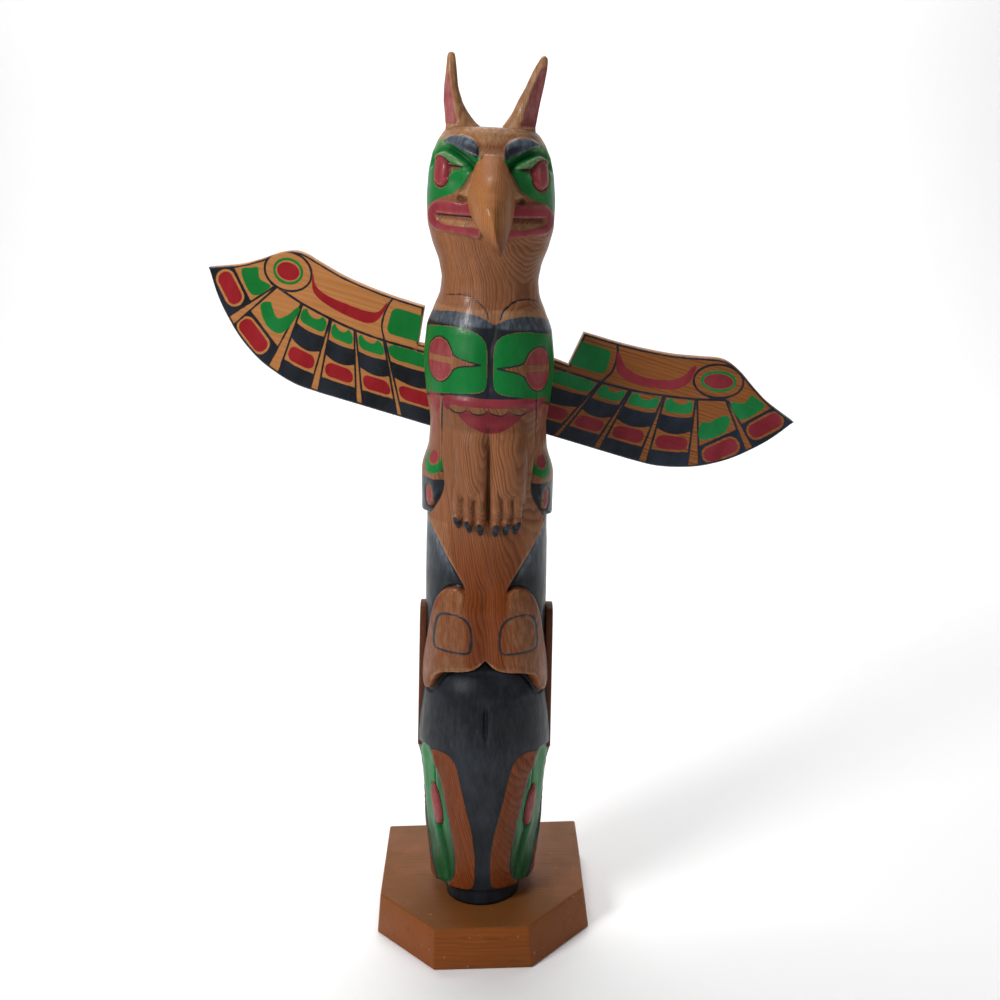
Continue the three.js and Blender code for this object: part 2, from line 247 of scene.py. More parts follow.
soft = {"interpolation_type": "SMOOTHSTEP"}
mixed = {"data_type": "RGBA"}
dullShine = 0.18  # old oiled wood and chalky paint reflect little
times, plus, minus = {"operation": "MULTIPLY"}, {"operation": "ADD"}, {"operation": "SUBTRACT"}


def newMaterial(name):
    material = bpy.data.materials.new(name)
    material.use_nodes = True
    return material, material.node_tree, material.node_tree.nodes["Principled BSDF"]


def stretched(tree, place, factors, scale, detail=3.0, rough=0.55):
    # noise drawn out along an axis: the small factor is the axis it runs along
    scaled = add(tree, "VectorMath", [place, factors], **times)
    return add(tree, "TexNoise", {"Vector": scaled, "Scale": scale, "Detail": detail, "Roughness": rough},
               "Fac")


# What the wood looks like on each piece. along is the axis that the grain runs in, turn tips it in the front
# view by degrees, pith is the middle of the growth rings in metres and ring the spacing of the lines in mm.
# dirt is the colour that the pole's hollows darken to, for dirt and as painted shade; on the base it colours
# the scratches
woods = {
    "pole": {"early": "#9c6440", "late": "#4a2a1a", "stain": "#764a2d", "ring": 1.5,
             "pith": (-0.085, 0.095, 0.3),
             "along": "Z", "lean": 0.1, "warp": 6.0, "depth": 0.75, "dirtAndShade": "#3a2418", "rubbed": "#c49c72",
             "lower": {"tint": "#d5a55a", "from": 0.42, "to": 0.335}},  # the whale was stained deeper
    "beak": {"early": "#a96f3e", "late": "#5c3018", "stain": "#93572b", "ring": 1.4,
             "pith": (0.30, -0.10, 0.6),
             "along": "Z", "lean": 0.05, "warp": 2.0, "depth": 0.6, "dirtAndShade": "#3a2418", "rubbed": "#b98450",
             "lower": {"tint": "#b79c8c", "from": 0.64, "to": 0.612}},  # the hook is darker
    "wing_left": {"early": "#bb7c48", "late": "#946130", "stain": "#ab6f3a", "ring": 4.4,
                  "pith": (0.0, 0.3, -0.3),
                  "along": "X", "turn": -18.7, "lean": 0.0, "warp": 6.0, "depth": 0.5, "dirtAndShade": "#5a361a",
                  "rubbed": "#c89864"},
    # the right wing's wood is darker than the left wing's: painted shade
    "wing_right": {"early": "#955a2d", "late": "#5c3413", "stain": "#8d5325", "ring": 3.3,
                   "pith": (0.0, 0.3, -0.8),
                   "along": "X", "turn": -18.7, "lean": 0.0, "warp": 3.0, "depth": 0.8, "dirtAndShade": "#4a2c15",
                   "rubbed": "#b58454"},
    "base": {"early": "#8b4713", "late": "#5f3410", "stain": "#7a4418", "ring": 1.9,
             "pith": (0.0, 0.08, -0.10),
             "along": "X", "lean": 0.0, "warp": 3.0, "depth": 0.5, "dirtAndShade": "#3c2412", "rubbed": "#a87c54"},
}


def solidWood(tree, look):
    # Growth rings cut through by the carving: rings round a far pith that leans a little, bent along
    # the grain and uneven in width. Returns the place, the colour, how dark the line is, and the fibres.
    place = add(tree, "TexCoord", [], "Object")
    if "turn" in look:
        place = add(tree, "VectorRotate", {"Vector": place, "Angle": math.radians(look["turn"])},
                    rotation_type="Y_AXIS")
    factors = {"X": (0.35, 1.0, 1.0), "Z": (1.0, 1.0, 0.35)}[look["along"]]
    flat = {"X": (0.0, 1.0, 1.0), "Z": (1.0, 1.0, 0.0)}[look["along"]]
    fibreFactors = {"X": (0.04, 1.0, 1.0), "Z": (1.0, 1.0, 0.04)}[look["along"]]
    bend = add(tree, "Math", [stretched(tree, place, factors, 11.0, 2.0), 2 * look["warp"] * mm], **times)
    waver = add(tree, "Math", [stretched(tree, place, factors, 70.0, 2.0), 2.6 * mm], **times)
    fromPith = add(tree, "VectorMath", [place, look["pith"]], **minus)
    level = add(tree, "VectorMath", [fromPith, flat], **times)
    radius = add(tree, "VectorMath", [level], "Value", operation="LENGTH")
    height = add(tree, "SeparateXYZ", [fromPith], "Z")
    radius = add(tree, "Math", [height, look["lean"], radius], operation="MULTIPLY_ADD")
    bent = add(tree, "Math", [add(tree, "Math", [radius, bend], **plus), waver], **plus)
    ring = add(tree, "Math", [bent, 1000 / look["ring"]], **times)
    seasons = add(tree, "TexNoise", {"W": ring, "Scale": 0.37, "Detail": 1.0}, "Fac", noise_dimensions="1D")
    ring = add(tree, "Math", [seasons, 1.1, ring], operation="MULTIPLY_ADD")
    phase = add(tree, "Math", [ring], operation="FRACT")
    darkening = add(tree, "MapRange", [phase, 0.15, 0.88, 0.0, 1.0], **soft)
    ending = add(tree, "MapRange", [phase, 0.9, 1.0, 1.0, 0.0], **soft)
    lateWood = add(tree, "Math", [darkening, ending], **times)
    fibre = stretched(tree, place, fibreFactors, 900.0, 3.0, 0.6)
    patch = stretched(tree, place, factors, 22.0, 3.0)
    deep = add(tree, "MapRange", [seasons, 0.3, 0.7, look["depth"] * 0.45, look["depth"]], **soft)
    strength = add(tree, "Math", [lateWood, deep], **times)
    patchy = add(tree, "MapRange", [patch, 0.35, 0.75, 0.0, 0.75], **soft)
    fine = add(tree, "MapRange", [fibre, 0.35, 0.7, 0.0, 0.3], **soft)
    shade = colour(look["early"])
    for amount, tone in ((strength, "late"), (patchy, "stain"), (fine, "late")):
        shade = add(tree, "Mix", {0: amount, 6: shade, 7: colour(look[tone])}, 2, **mixed)
    if "lower" in look:
        stain, up = look["lower"], add(tree, "SeparateXYZ", [place], "Z")
        lower = add(tree, "MapRange", [up, stain["from"], stain["to"], 0.0, 1.0], **soft)
        shade = add(tree, "Mix", {0: lower, 6: shade, 7: colour(stain["tint"])}, 2, blend_type="MULTIPLY",
                    **mixed)
    return place, shade, strength, fibre


# Enamel paints brushed over the wood, under a thin varnish. rub is how strongly high places are worn, and
# deep is the tone a paint darkens to, for dirt in hollows and for painted shade.
paints = {
    "black": {"body": "#0f1216", "thin": "#22272f", "worn": "#7f8a97", "deep": "#08090a", "rub": 0.6,
              "roughness": 0.32},
    "green": {"body": "#04672a", "thin": "#08712f", "worn": "#83966b", "deep": "#023a16", "rub": 0.75,
              "roughness": 0.34},
    "red": {"body": "#78202a", "thin": "#8f343b", "worn": "#a8706a", "deep": "#3a0d12", "rub": 0.8,
            "roughness": 0.4},
}
wingPaintsAndShade = {
    "wing_left": {"red": {"body": "#860c16", "thin": "#951a22"},
                  "green": {"body": "#066a26", "thin": "#127836"}},
    # the right wing's paints are darker and duller than the left's: painted shade
    "wing_right": {"red": {"body": "#741824", "thin": "#872c36"},
                   "green": {"body": "#0a6a30", "thin": "#1a7a42"},
                   "black": {"body": "#141922", "thin": "#222a38"}},
}


def paintedWood(name, look, tint={}, wobble=0.55, wear=1.0):
    # Softwood carved with knives, painted by hand with flat enamel and varnished: edges waver a little, the
    # grain shows faintly through, high edges are rubbed, hollows are darkened with dirt and painted shade,
    # and the varnish shines in specks.
    material, tree, shader = newMaterial(name)
    place, shade, lines, fibre = solidWood(tree, look)
    sway = stretched(tree, place, (1, 1, 1), 95.0, 2.0)
    sway = add(tree, "MapRange", [sway, 0.0, 1.0, -1.1 * wobble, 1.1 * wobble])
    hair = stretched(tree, place, (1, 1, 1), 420.0, 2.0)
    hair = add(tree, "MapRange", [hair, 0.0, 1.0, -0.6 * wobble, 0.6 * wobble])
    edge = add(tree, "Math", [sway, hair], **plus)
    brush = stretched(tree, place, (1.0, 1.0, 0.12), 330.0, 3.0)
    cloud = stretched(tree, place, (1.0, 1.0, 0.6), 38.0, 3.0)
    speck = stretched(tree, place, (1.0, 1.0, 0.35), 260.0, 4.0, 0.7)
    worn = add(tree, "Attribute", [], "Fac", attribute_name="worn")
    raised = add(tree, "MapRange", [worn, 0.12, 0.9, 0.0, wear], **soft)
    speckled = add(tree, "MapRange", [speck, 0.34, 0.7, 0.3, 1.0], **soft)
    rubbed = add(tree, "Math", [raised, speckled], **times)
    # where worn is below zero the wood darkens to its dirt colour and each paint to its deep tone: dirt in
    # hollows, and painted shade in hollows, on the neck and on the whale's eye sides
    hollow = add(tree, "MapRange", [worn, -0.15, -1.2, 0.0, 1.0], **soft)
    hollowDirtAndShade, deep = [add(tree, "Math", [hollow, most], **times) for most in (0.55, 0.85)]
    shade = add(tree, "Mix", {0: hollowDirtAndShade, 6: shade, 7: colour(look["dirtAndShade"])}, 2, **mixed)
    pale = add(tree, "Math", [rubbed, 0.5], **times)
    shade = add(tree, "Mix", {0: pale, 6: shade, 7: colour(look["rubbed"])}, 2, **mixed)
    roughness = add(tree, "MapRange", [cloud, 0.3, 0.7, 0.4, 0.52], **soft)
    thin = add(tree, "MapRange", [cloud, 0.35, 0.7, 0.0, 1.0], **soft)
    streak = add(tree, "MapRange", [brush, 0.45, 0.75, 0.0, 0.3], **soft)
    ghost = add(tree, "Math", [lines, 0.3], **times)
    painted = 0.0
    for layer in ("black", "green", "red"):
        paint = paints[layer] | tint.get(layer, {})
        field = add(tree, "Attribute", [], "Fac", attribute_name=layer)
        wavering = add(tree, "Math", [field, edge], **plus)
        mask = add(tree, "MapRange", [wavering, -0.35, 0.35, 0.0, 1.0], **soft)
        body = colour(paint["body"])
        for amount, tone in ((thin, "thin"), (ghost, "thin"), (streak, "thin"), (deep, "deep")):
            body = add(tree, "Mix", {0: amount, 6: body, 7: colour(paint[tone])}, 2, **mixed)
        rub = add(tree, "Math", [rubbed, paint["rub"]], **times)
        body = add(tree, "Mix", {0: rub, 6: body, 7: colour(paint["worn"])}, 2, **mixed)
        shade = add(tree, "Mix", {0: mask, 6: shade, 7: body}, 2, **mixed)
        gloss = add(tree, "MapRange", [brush, 0.3, 0.7, paint["roughness"], paint["roughness"] + 0.12],
                    **soft)
        roughness = add(tree, "Mix", {0: mask, 2: roughness, 3: gloss})
        painted = add(tree, "Math", [painted, mask], operation="MAXIMUM")
    bareness = add(tree, "MapRange", [painted, 0.0, 1.0, 1.0, 0.28])
    grain = add(tree, "Math", [fibre, 0.6, lines], operation="MULTIPLY_ADD")
    knife = stretched(tree, place, (1.0, 1.0, 0.5), 120.0, 1.0)
    height = add(tree, "Math", [add(tree, "Math", [grain, bareness], **times), 0.18], **times)
    for mark, most in ((knife, 0.32), (brush, 0.12), (speck, 0.22)):
        height = add(tree, "Math", [mark, most, height], operation="MULTIPLY_ADD")
    bump = add(tree, "Bump", {"Height": height, "Strength": 0.7, "Distance": 0.9 * mm})
    shine = add(tree, "MapRange", [speck, 0.42, 0.6, 0.02, 0.2], **soft)
    for socket, made in (("Base Color", shade), ("Roughness", roughness), ("Coat Weight", shine),
                         ("Normal", bump)):
        tree.links.new(made, shader.inputs[socket])
    for socket, value in (("IOR", 1.5), ("Specular IOR Level", dullShine), ("Coat Roughness", 0.16)):
        shader.inputs[socket].default_value = value
    return material


finLook = {"outer": 59, "thick": 6.4, "low": 137, "high": 268, "front": -10, "back": 28, "eased": 1.2,
           "leanIn": {-1: 2.0, 1: 0.6}}

poleLook = {
    "stations": [  # height, half width, depth of the front
        (0, 47, 47), (16, 47.8, 48), (40, 50.6, 50.6), (70, 53.2, 53), (119, 57.2, 56.5), (136, 59, 57.5),
        (150, 58.8, 57.5), (165, 58, 56.8), (188, 55.6, 55), (200, 54.4, 53.6), (225, 52.8, 51.8),
        (255, 52.2, 50.4), (285, 52.2, 49.5), (325, 51.8, 48.8), (344, 51.2, 48.6), (357, 51.2, 49.3),
        (384, 51.4, 52), (400, 50.6, 53), (414, 49.6, 53.5), (430, 48.6, 54), (455, 52, 55.5),
        (482, 54.1, 56), (507, 52, 52.5), (524, 46.2, 47.5), (540, 40.6, 42.5), (549, 39.7, 41.5),
        (560, 41.4, 42.5), (581, 48.4, 47), (595, 51.3, 49.5), (612, 51.8, 50), (630, 50.6, 49.5),
        (645, 47.8, 47.5), (655, 43.9, 44.2), (663, 39, 40.4), (668, 33.5, 35.5)],
    "backFlat": 40, "footX": 0.5, "lean": 0.0425, "skewAtWhale": 0.05, "skewAtBird": 0.078,
    "footHeight": 14, "footRadius": 32.6, "footMiddle": -14.4, "footBack": 34, "crownRings": 6,
    "crownRise": 1.0,
    "rows": [(0, 14, 2.8), (14, 14.5, 0.5), (14.5, 190, 1.6), (190, 240, 0.95), (240, 300, 1.5),
             (300, 338, 1.6), (338, 382, 1.0), (382, 440, 1.3), (440, 543, 1.25), (543, 580, 2.4),
             (580, 664, 0.95), (664, 668, 0.8)],
    # round from the middle of the front, on a 50 mm log
    "columns": [(0, 58, 1.06), (58, 92, 1.6), (92, 157, 5.0)],
}
gap = 0.3
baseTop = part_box("base")[1].z / mm
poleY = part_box("pole")[1].y / mm - poleLook["backFlat"]


def skewAt(z):
    low, high = poleLook["skewAtWhale"], poleLook["skewAtBird"]
    return low * smoothStep(z / 90) + (high - low) * smoothStep((z - 290) / 150)


def settle(points):
    # the finished carving leans to the right as it rises, and its level lines run downhill
    x, y, z = points.T
    return np.stack([poleLook["footX"] + poleLook["lean"] * z + x, poleY + y,
                     baseTop + gap + z - x * skewAt(z)], 1) * mm


def halfWidthAt(z):
    return through(poleLook["stations"], z, 1)


# Outlines on the front of the log, right half: out from the middle line, then height above the base.
# The hips and flukes are measured straight across, the rest round the log unless a note says otherwise.
hips = np.vstack([curve([(-6, 482), (30, 482), (36.5, 474), (38.3, 455), (37.6, 424), (36.4, 404),
                         (34.8, 389), (35.8, 377), (42.4, 361), (46.6, 353.5)]),
                  curve([(47, 352), (39.5, 338), (31, 322), (22.5, 308), (17, 297), (14.5, 284)]),
                  [(-6, 280)]])
fluke = np.vstack([[(-6, 312), (13, 312), (15.5, 300)],
                   curve([(17.5, 295.5), (21.3, 297.5), (27, 297.5), (33.5, 294), (39, 285), (43.8, 269),
                          (48, 246.5), (51.6, 226), (52.8, 208), (51, 200), (47.5, 199), (44, 203.5),
                          (40.5, 212), (35.5, 218.5), (27, 222), (18, 223.8), (9, 226.6), (4, 230)]),
                   [(0, 234), (-6, 234)]])
flukeWindow = curve([(11.2, 246), (10.8, 260), (13.6, 269), (19.6, 273.5), (28.6, 274.3), (34, 272.5),
                     (37, 267), (38.6, 256), (39, 245), (35.6, 241.7), (25.6, 241.3), (14.4, 242)],
                    closed=True)
# on the head
brow = curve([(9, 645), (9.6, 650), (11, 655), (15, 659), (22, 661.3), (31, 661.3), (38, 659.8), (45, 656.5),
              (40, 655.8), (33, 653.8), (27, 651.3), (20, 648.2), (13, 645.5)], closed=True)
eyeGreen = curve([(8, 647), (14, 650), (24, 655), (36, 659), (48, 658), (64, 655), (82, 650), (97, 640),
                  (99, 622), (98, 607), (80, 604.5), (66, 606.5), (55, 611), (45, 613.7), (35, 616.3),
                  (29, 619), (22.5, 624), (19.3, 628.5), (15, 635), (10.8, 641)], closed=True)
eyeOval = {-1: (46.8, 633.4, 9.0, 11.4), 1: (46.2, 634, 10.2, 11.4)}  # each side: middle, half sizes
eyeCorner = np.array([(39, 642.5), (34, 639.8), (20.5, 637.8), (33, 635.2), (37, 630.5), (41, 628)])
socket = curve([(14, 638.5), (20, 643), (27, 647), (36, 650.2), (45, 651), (56, 648), (65, 640)])
lid = curve([(22, 640), (31, 643.6), (42, 646.8), (54, 645)])
nostril = (22.2, 614.2, 5.8, 2.4)
lips = curve([(8, 611.3), (18, 611), (30, 612.2), (44, 611.8), (54, 609.5), (61, 605), (64.3, 599.3),
              (61, 592.8), (54, 589.3), (42, 587.6), (30, 586.9), (18, 586), (8, 585.5)], closed=True)
innerLip = curve([(-2, 601.1), (30, 601.1), (44, 601), (50.5, 599.3), (46, 595), (36, 593.3), (20, 592.6),
                  (-2, 592.4)])
bellyPanel = curve([(112, 505), (98, 507), (79, 508.5), (62, 511.5), (45, 513.3), (27, 514), (15, 512),
                    (8, 508.5), (4, 503), (2.6, 495), (2.5, 484), (2.6, 474), (4, 467), (9, 463.8),
                    (20, 462.3), (40, 460), (60, 456.5), (79, 452.5), (112, 449)])
bellyOval = (46, 486)
bellyFall = 0.055  # the right side of the belly sits a little lower than the left
tailOval = (55.5, 371, 5.6, 9.2)
tailSpot = (52.4, 403.8)
# on the belly and the whale
collar = curve([(46, 537), (36, 538.2), (28, 538.8), (19, 537.5), (12, 533.5), (7, 528.5), (5, 522)])
whaleStripe = np.vstack([curve([(53, 145.5), (42, 147.5), (32, 145.5), (25, 137), (20.5, 120), (16.5, 101),
                                (10.5, 76), (7, 50), (7, 30), (8, 20), (12, 16.2), (22, 15.4), (32, 15.4)]),
                         curve([(33, 16.5), (27.5, 24), (25, 36), (25.5, 50), (30, 76), (36.5, 104),
                                (44, 130)])])
whaleGreen = np.vstack([curve([(57, 146), (68, 145), (84, 140), (95, 124), (95, 98), (88, 76), (77, 62),
                               (67, 48), (60, 30), (51, 16.5), (43, 13.2), (35, 15)]),
                        curve([(29, 25), (26.8, 38), (27.4, 51), (32, 76), (38.5, 104), (46, 130)])])
whaleEye = (52.5, 90, 6.8, 20, -0.25)
eyeSeam = np.array([(53.5, 110), (52.6, 139)])
# straight across: the middle and tip of each toe, the middle and half width of each leg
toes = [(-21.6, 351.5), (-13.6, 348.8), (-5.0, 347.2), (6.4, 346.8), (14.2, 347.6), (21.6, 348.2)]
legs = [(-12.6, 13.2), (15.8, 15.0)]
noseFlank = [  # height, where the flank starts, where it meets the beak, how high it stands there
    (610, 24, 16, 0.0), (613.5, 29, 16, 6.0), (618, 29, 14.5, 11.4), (623, 24.5, 13, 11.6),
    (628, 21, 11.4, 10.6), (634, 17.6, 9.6, 9.2), (640, 14.2, 8.4, 7.0), (646, 11.8, 7.4, 4.4),
    (650, 11.0, 7.0, 1.6), (653, 10.5, 6.5, 0.0)]


def eyeDistance(s, z):
    # signed distance to the long round eyes
    left, right = [roundedBlock(np.abs(s), z, *eyeOval[side], eyeOval[side][2] - 0.6, 0.08)
                   for side in (-1, 1)]
    return np.where(s < 0, left, right)


def breastAcross(s, z):
    # high up, the parting of the breast stands right of the middle line
    return s - 4 * smoothStep((z - 495) / 20)


def relief(s, x, z):
    # how far the carving stands out from the plain log, in mm. s is round the log, x across, z up.
    a, ax = np.abs(s), np.abs(x)
    out = np.zeros(len(z))

    def zone(low, high):
        return np.flatnonzero((z > low) & (z < high) & (a < 100))

    def ridge(distance, width):
        return np.exp(-(distance / width) ** 2)

    # head: overhanging brow, socket, lid, eye, nose flanks with nostrils, lips round a deep slit
    k = zone(570, 668)
    u, v = a[k], z[k]
    h = -4.4 * ridge(lineDistance(u, v, socket), 3.1)
    h += 2.5 * rise(inside(u, v, brow), 3.4)
    h += 2.7 * ridge(lineDistance(u, v, lid), 3.0)
    h -= 1.5 * ridge(u - 31, 8) * ridge(v - 627, 6)
    eye = eyeDistance(s[k], v)
    h += np.where(eye > 0, 1.9 * np.sqrt(np.clip(eye / 9, 0, 1)), 0) - 1.7 * ridge(eye, 1.1)
    corner = inside(u, v, eyeCorner)
    h -= 1.4 * rise(corner, 1.6)
    h -= 1.3 * ridge(lineDistance(u, v, [(37, 637.6), (29, 637.4), (20, 637.9)]), 0.8)
    edge, core, height = [through(noseFlank, v, column) for column in (1, 2, 3)]
    h += height * smoothStep((edge - u) / (edge - core))
    h -= 3.4 * rise(oval(u, v, *nostril), 3.6)
    mouth = inside(u, v, lips)
    h += 2.2 * rise(mouth, 2.2) - 0.5 * ridge(mouth + 1.2, 1.6) * (u > 12)
    h -= 4.6 * np.clip((v - 593.2) / 7.4, 0, 1) * smoothStep((601.8 - v) / 1.2) * smoothStep((51 - u) / 5)
    h -= 1.6 * ridge(u - 25, 30) * ridge(v - 580, 5)
    out[k] += h

    # belly: two rounded breasts, the lips of the lower mouth
    k = zone(425, 545)
    u, v = breastAcross(s[k], z[k]), z[k]
    h = -2.4 * ridge(u, 7) * smoothStep((v - 455) / 15) * smoothStep((540 - v) / 25)
    h -= 0.5 * ridge(u, 1.6) * smoothStep((v - 462) / 6) * smoothStep((522 - v) / 6)
    h += 1.0 * ridge(v - 455.8, 3.2) * (np.abs(u) < 40) + 1.0 * ridge(v - 440, 4) * ridge(u, 22)
    h -= 0.5 * ridge(lineDistance(np.abs(u), v, collar), 0.8)
    out[k] += h

    # the bird's lower front stands proud of its sides, and runs down into the whale's tail stock
    k = zone(270, 484)
    v = z[k]
    front = inside(ax[k], v, hips)
    proud = (2.4 + 1.8 * smoothStep((380 - v) / 40)) * smoothStep((472 - v) / 22)
    out[k] += proud * rise(front, 1.8) - 0.7 * ridge(front + 1.4, 1.4) * (v > 300) * (v < 455)
    fan = 4.4 * smoothStep((v - 352.6) / 2.2) * smoothStep((413 - v) / 24) * rise(-front - 2.5, 2.2)
    out[k] += fan * smoothStep((ax[k] - 36) / 5)

    # legs and toes
    k = zone(338, 448)
    v = z[k]
    h = np.zeros(len(k))
    for middle, half in legs:
        narrowing = half - 1.4 * smoothStep((400 - v) / 50)
        swell = np.clip(1 - np.abs((x[k] - middle) / narrowing) ** 2.6, 0, 1)
        tall = (6.2 + 1.6 * ridge(v - 388, 18)) * smoothStep((446 - v) / 30) * smoothStep((v - 362) / 22)
        h = np.maximum(h, tall * swell ** 0.8)
    for middle, tip in toes:
        length = smoothStep((404 - v) / 26) * smoothStep((v - tip + 0.6) / 4)
        narrow = 4.5 - 2.2 * smoothStep((tip + 12 - v) / 12)
        finger = np.clip(1 - ((x[k] - middle) / narrow) ** 2, 0, 1) ** 0.5
        knuckle = 1.5 * ridge(v - tip - 22, 4) + 1.0 * ridge(v - tip - 7, 4)
        knuckle -= 1.3 * ridge(v - tip - 12.5, 1.6)
        h = np.maximum(h, (7.2 + knuckle) * finger * length)
    h -= 2.6 * ridge(x[k] - 0.7, 1.2) * smoothStep((430 - v) / 22) * smoothStep((v - 352) / 8)
    out[k] += h

    # fan tail: a raised rim round its lower oval
    k = zone(352, 430)
    out[k] -= 0.7 * ridge(oval(a[k], z[k], *tailOval), 1.1)

    # flukes, standing out of the tail stock; the whale's back swells out from under them
    k = zone(140, 330)
    v = z[k]
    lobe = inside(ax[k], v, fluke)
    centre = smoothStep((19 - ax[k]) / 3)
    thinned = 1 - centre * 0.42 * smoothStep((v - 274) / 26)
    thick = 6.8 * (1 - 0.42 * smoothStep((ax[k] - 36) / 16)) * thinned
    valley = 3.4 * ridge(x[k], 7.5) * smoothStep((v - 222) / 12) * smoothStep((316 - v) / 30)
    proud = 4.2 * rise(inside(ax[k], v, hips), 1.5)
    softEdge = 1.3 * np.exp(-np.clip(lobe, 0, 30) / 2.6) * (1 - centre * smoothStep((v - 274) / 26))
    lobeHeight = (thick - softEdge) * rise(lobe, 2.0)
    h = np.maximum(lobeHeight - proud, 0) * (lobe > -2) - valley
    under = rise(-lobe, 2.0) * smoothStep((236 - v) / 6) * smoothStep((60 - ax[k]) / 20)
    h -= under * (5.4 * smoothStep((v - 197) / 24) + 0.8 * smoothStep((v - 180) / 40))
    h -= 1.2 * ridge(lobe + 1.4, 1.6) * (v < 300) * (1 - centre * smoothStep((v - 260) / 20))
    h -= 0.4 * ridge(inside(ax[k], v, flukeWindow), 0.9)
    h -= 3.0 * ridge(x[k] - 0.8, 2.0) * smoothStep((v - 154) / 12) * smoothStep((196 - v) / 10)
    h -= 2.2 * ridge(x[k] - 0.8, 9) * smoothStep((v - 140) / 20) * smoothStep((212 - v) / 22)
    out[k] += h

    # whale's face: stripes stand proud of the hollowed eye sides
    k = zone(5, 165)
    u, v = a[k], z[k]
    side = inside(u, v, whaleGreen)
    h = 0.5 * rise(inside(u, v, whaleStripe), 1.6)
    h -= 2.2 * rise(side, 1.8) + 2.0 * np.clip(side / 10, 0, 1) * smoothStep((78 - u) / 14)
    spindle = oval(u, v, *whaleEye)
    h += np.where(spindle > 0, 3.2 * np.sqrt(np.clip(spindle / 6, 0, 1)), 0) - 1.3 * ridge(spindle + 0.3, 1.2)
    besideSeam = ridge(lineDistance(u, v, eyeSeam - [6, 0]), 3.0)
    h -= 1.6 * ridge(lineDistance(u, v, eyeSeam), 1.0) - 1.4 * besideSeam
    crease = curve([(47, 71), (41, 54), (36, 36), (33, 20)])
    h -= 2.0 * ridge(lineDistance(u, v, crease), 1.6)
    h += 1.8 * ridge(lineDistance(u, v, crease + [6.0, 0]), 4.0)
    out[k] += h
    return out


def poleGrid():
    rows = spread(poleLook["rows"])
    right = spread(poleLook["columns"]) / 50
    angles = np.r_[-right[:0:-1], right[:-1]]
    z, turn = np.meshgrid(rows, angles, indexing="ij")
    return rows, angles, z.ravel(), turn.ravel()


def poleSurface(z, turn):
    halfWidth = halfWidthAt(z)
    front = through(poleLook["stations"], z, 2)
    sin, cos = np.sin(turn), np.cos(turn)
    s, x = halfWidth * turn, halfWidth * sin
    out = relief(s, x, z)
    depth = np.where(cos > 0, front, halfWidth)
    nx, ny = sin * depth, -cos * halfWidth
    size = np.hypot(nx, ny) + 1e-9
    px, py = x + out * nx / size, -depth * cos + out * ny / size
    py = np.minimum(py, poleLook["backFlat"])
    # flat seats for the fins
    p = finLook
    seat = (py > p["front"] - gap) & (py < p["back"] + gap) & (z > p["low"] - gap) & (z < p["high"] + gap)
    leanIn = np.where(px < 0, p["leanIn"][-1], p["leanIn"][1]) * (z - p["low"]) / (p["high"] - p["low"])
    inner = p["outer"] - p["thick"] - gap - leanIn
    px = np.where(seat, np.clip(px, -inner, inner), px)
    # the log stands on a round foot, set back under the whale's chin
    foot = z < poleLook["footHeight"] + 0.1
    radius, middle = poleLook["footRadius"], poleLook["footMiddle"]
    px = np.where(foot, radius * sin, px)
    py = np.where(foot, middle - np.where(cos > 0, radius, poleLook["footBack"] - middle) * cos, py)
    return np.stack([px, py, z], 1), s, x, out


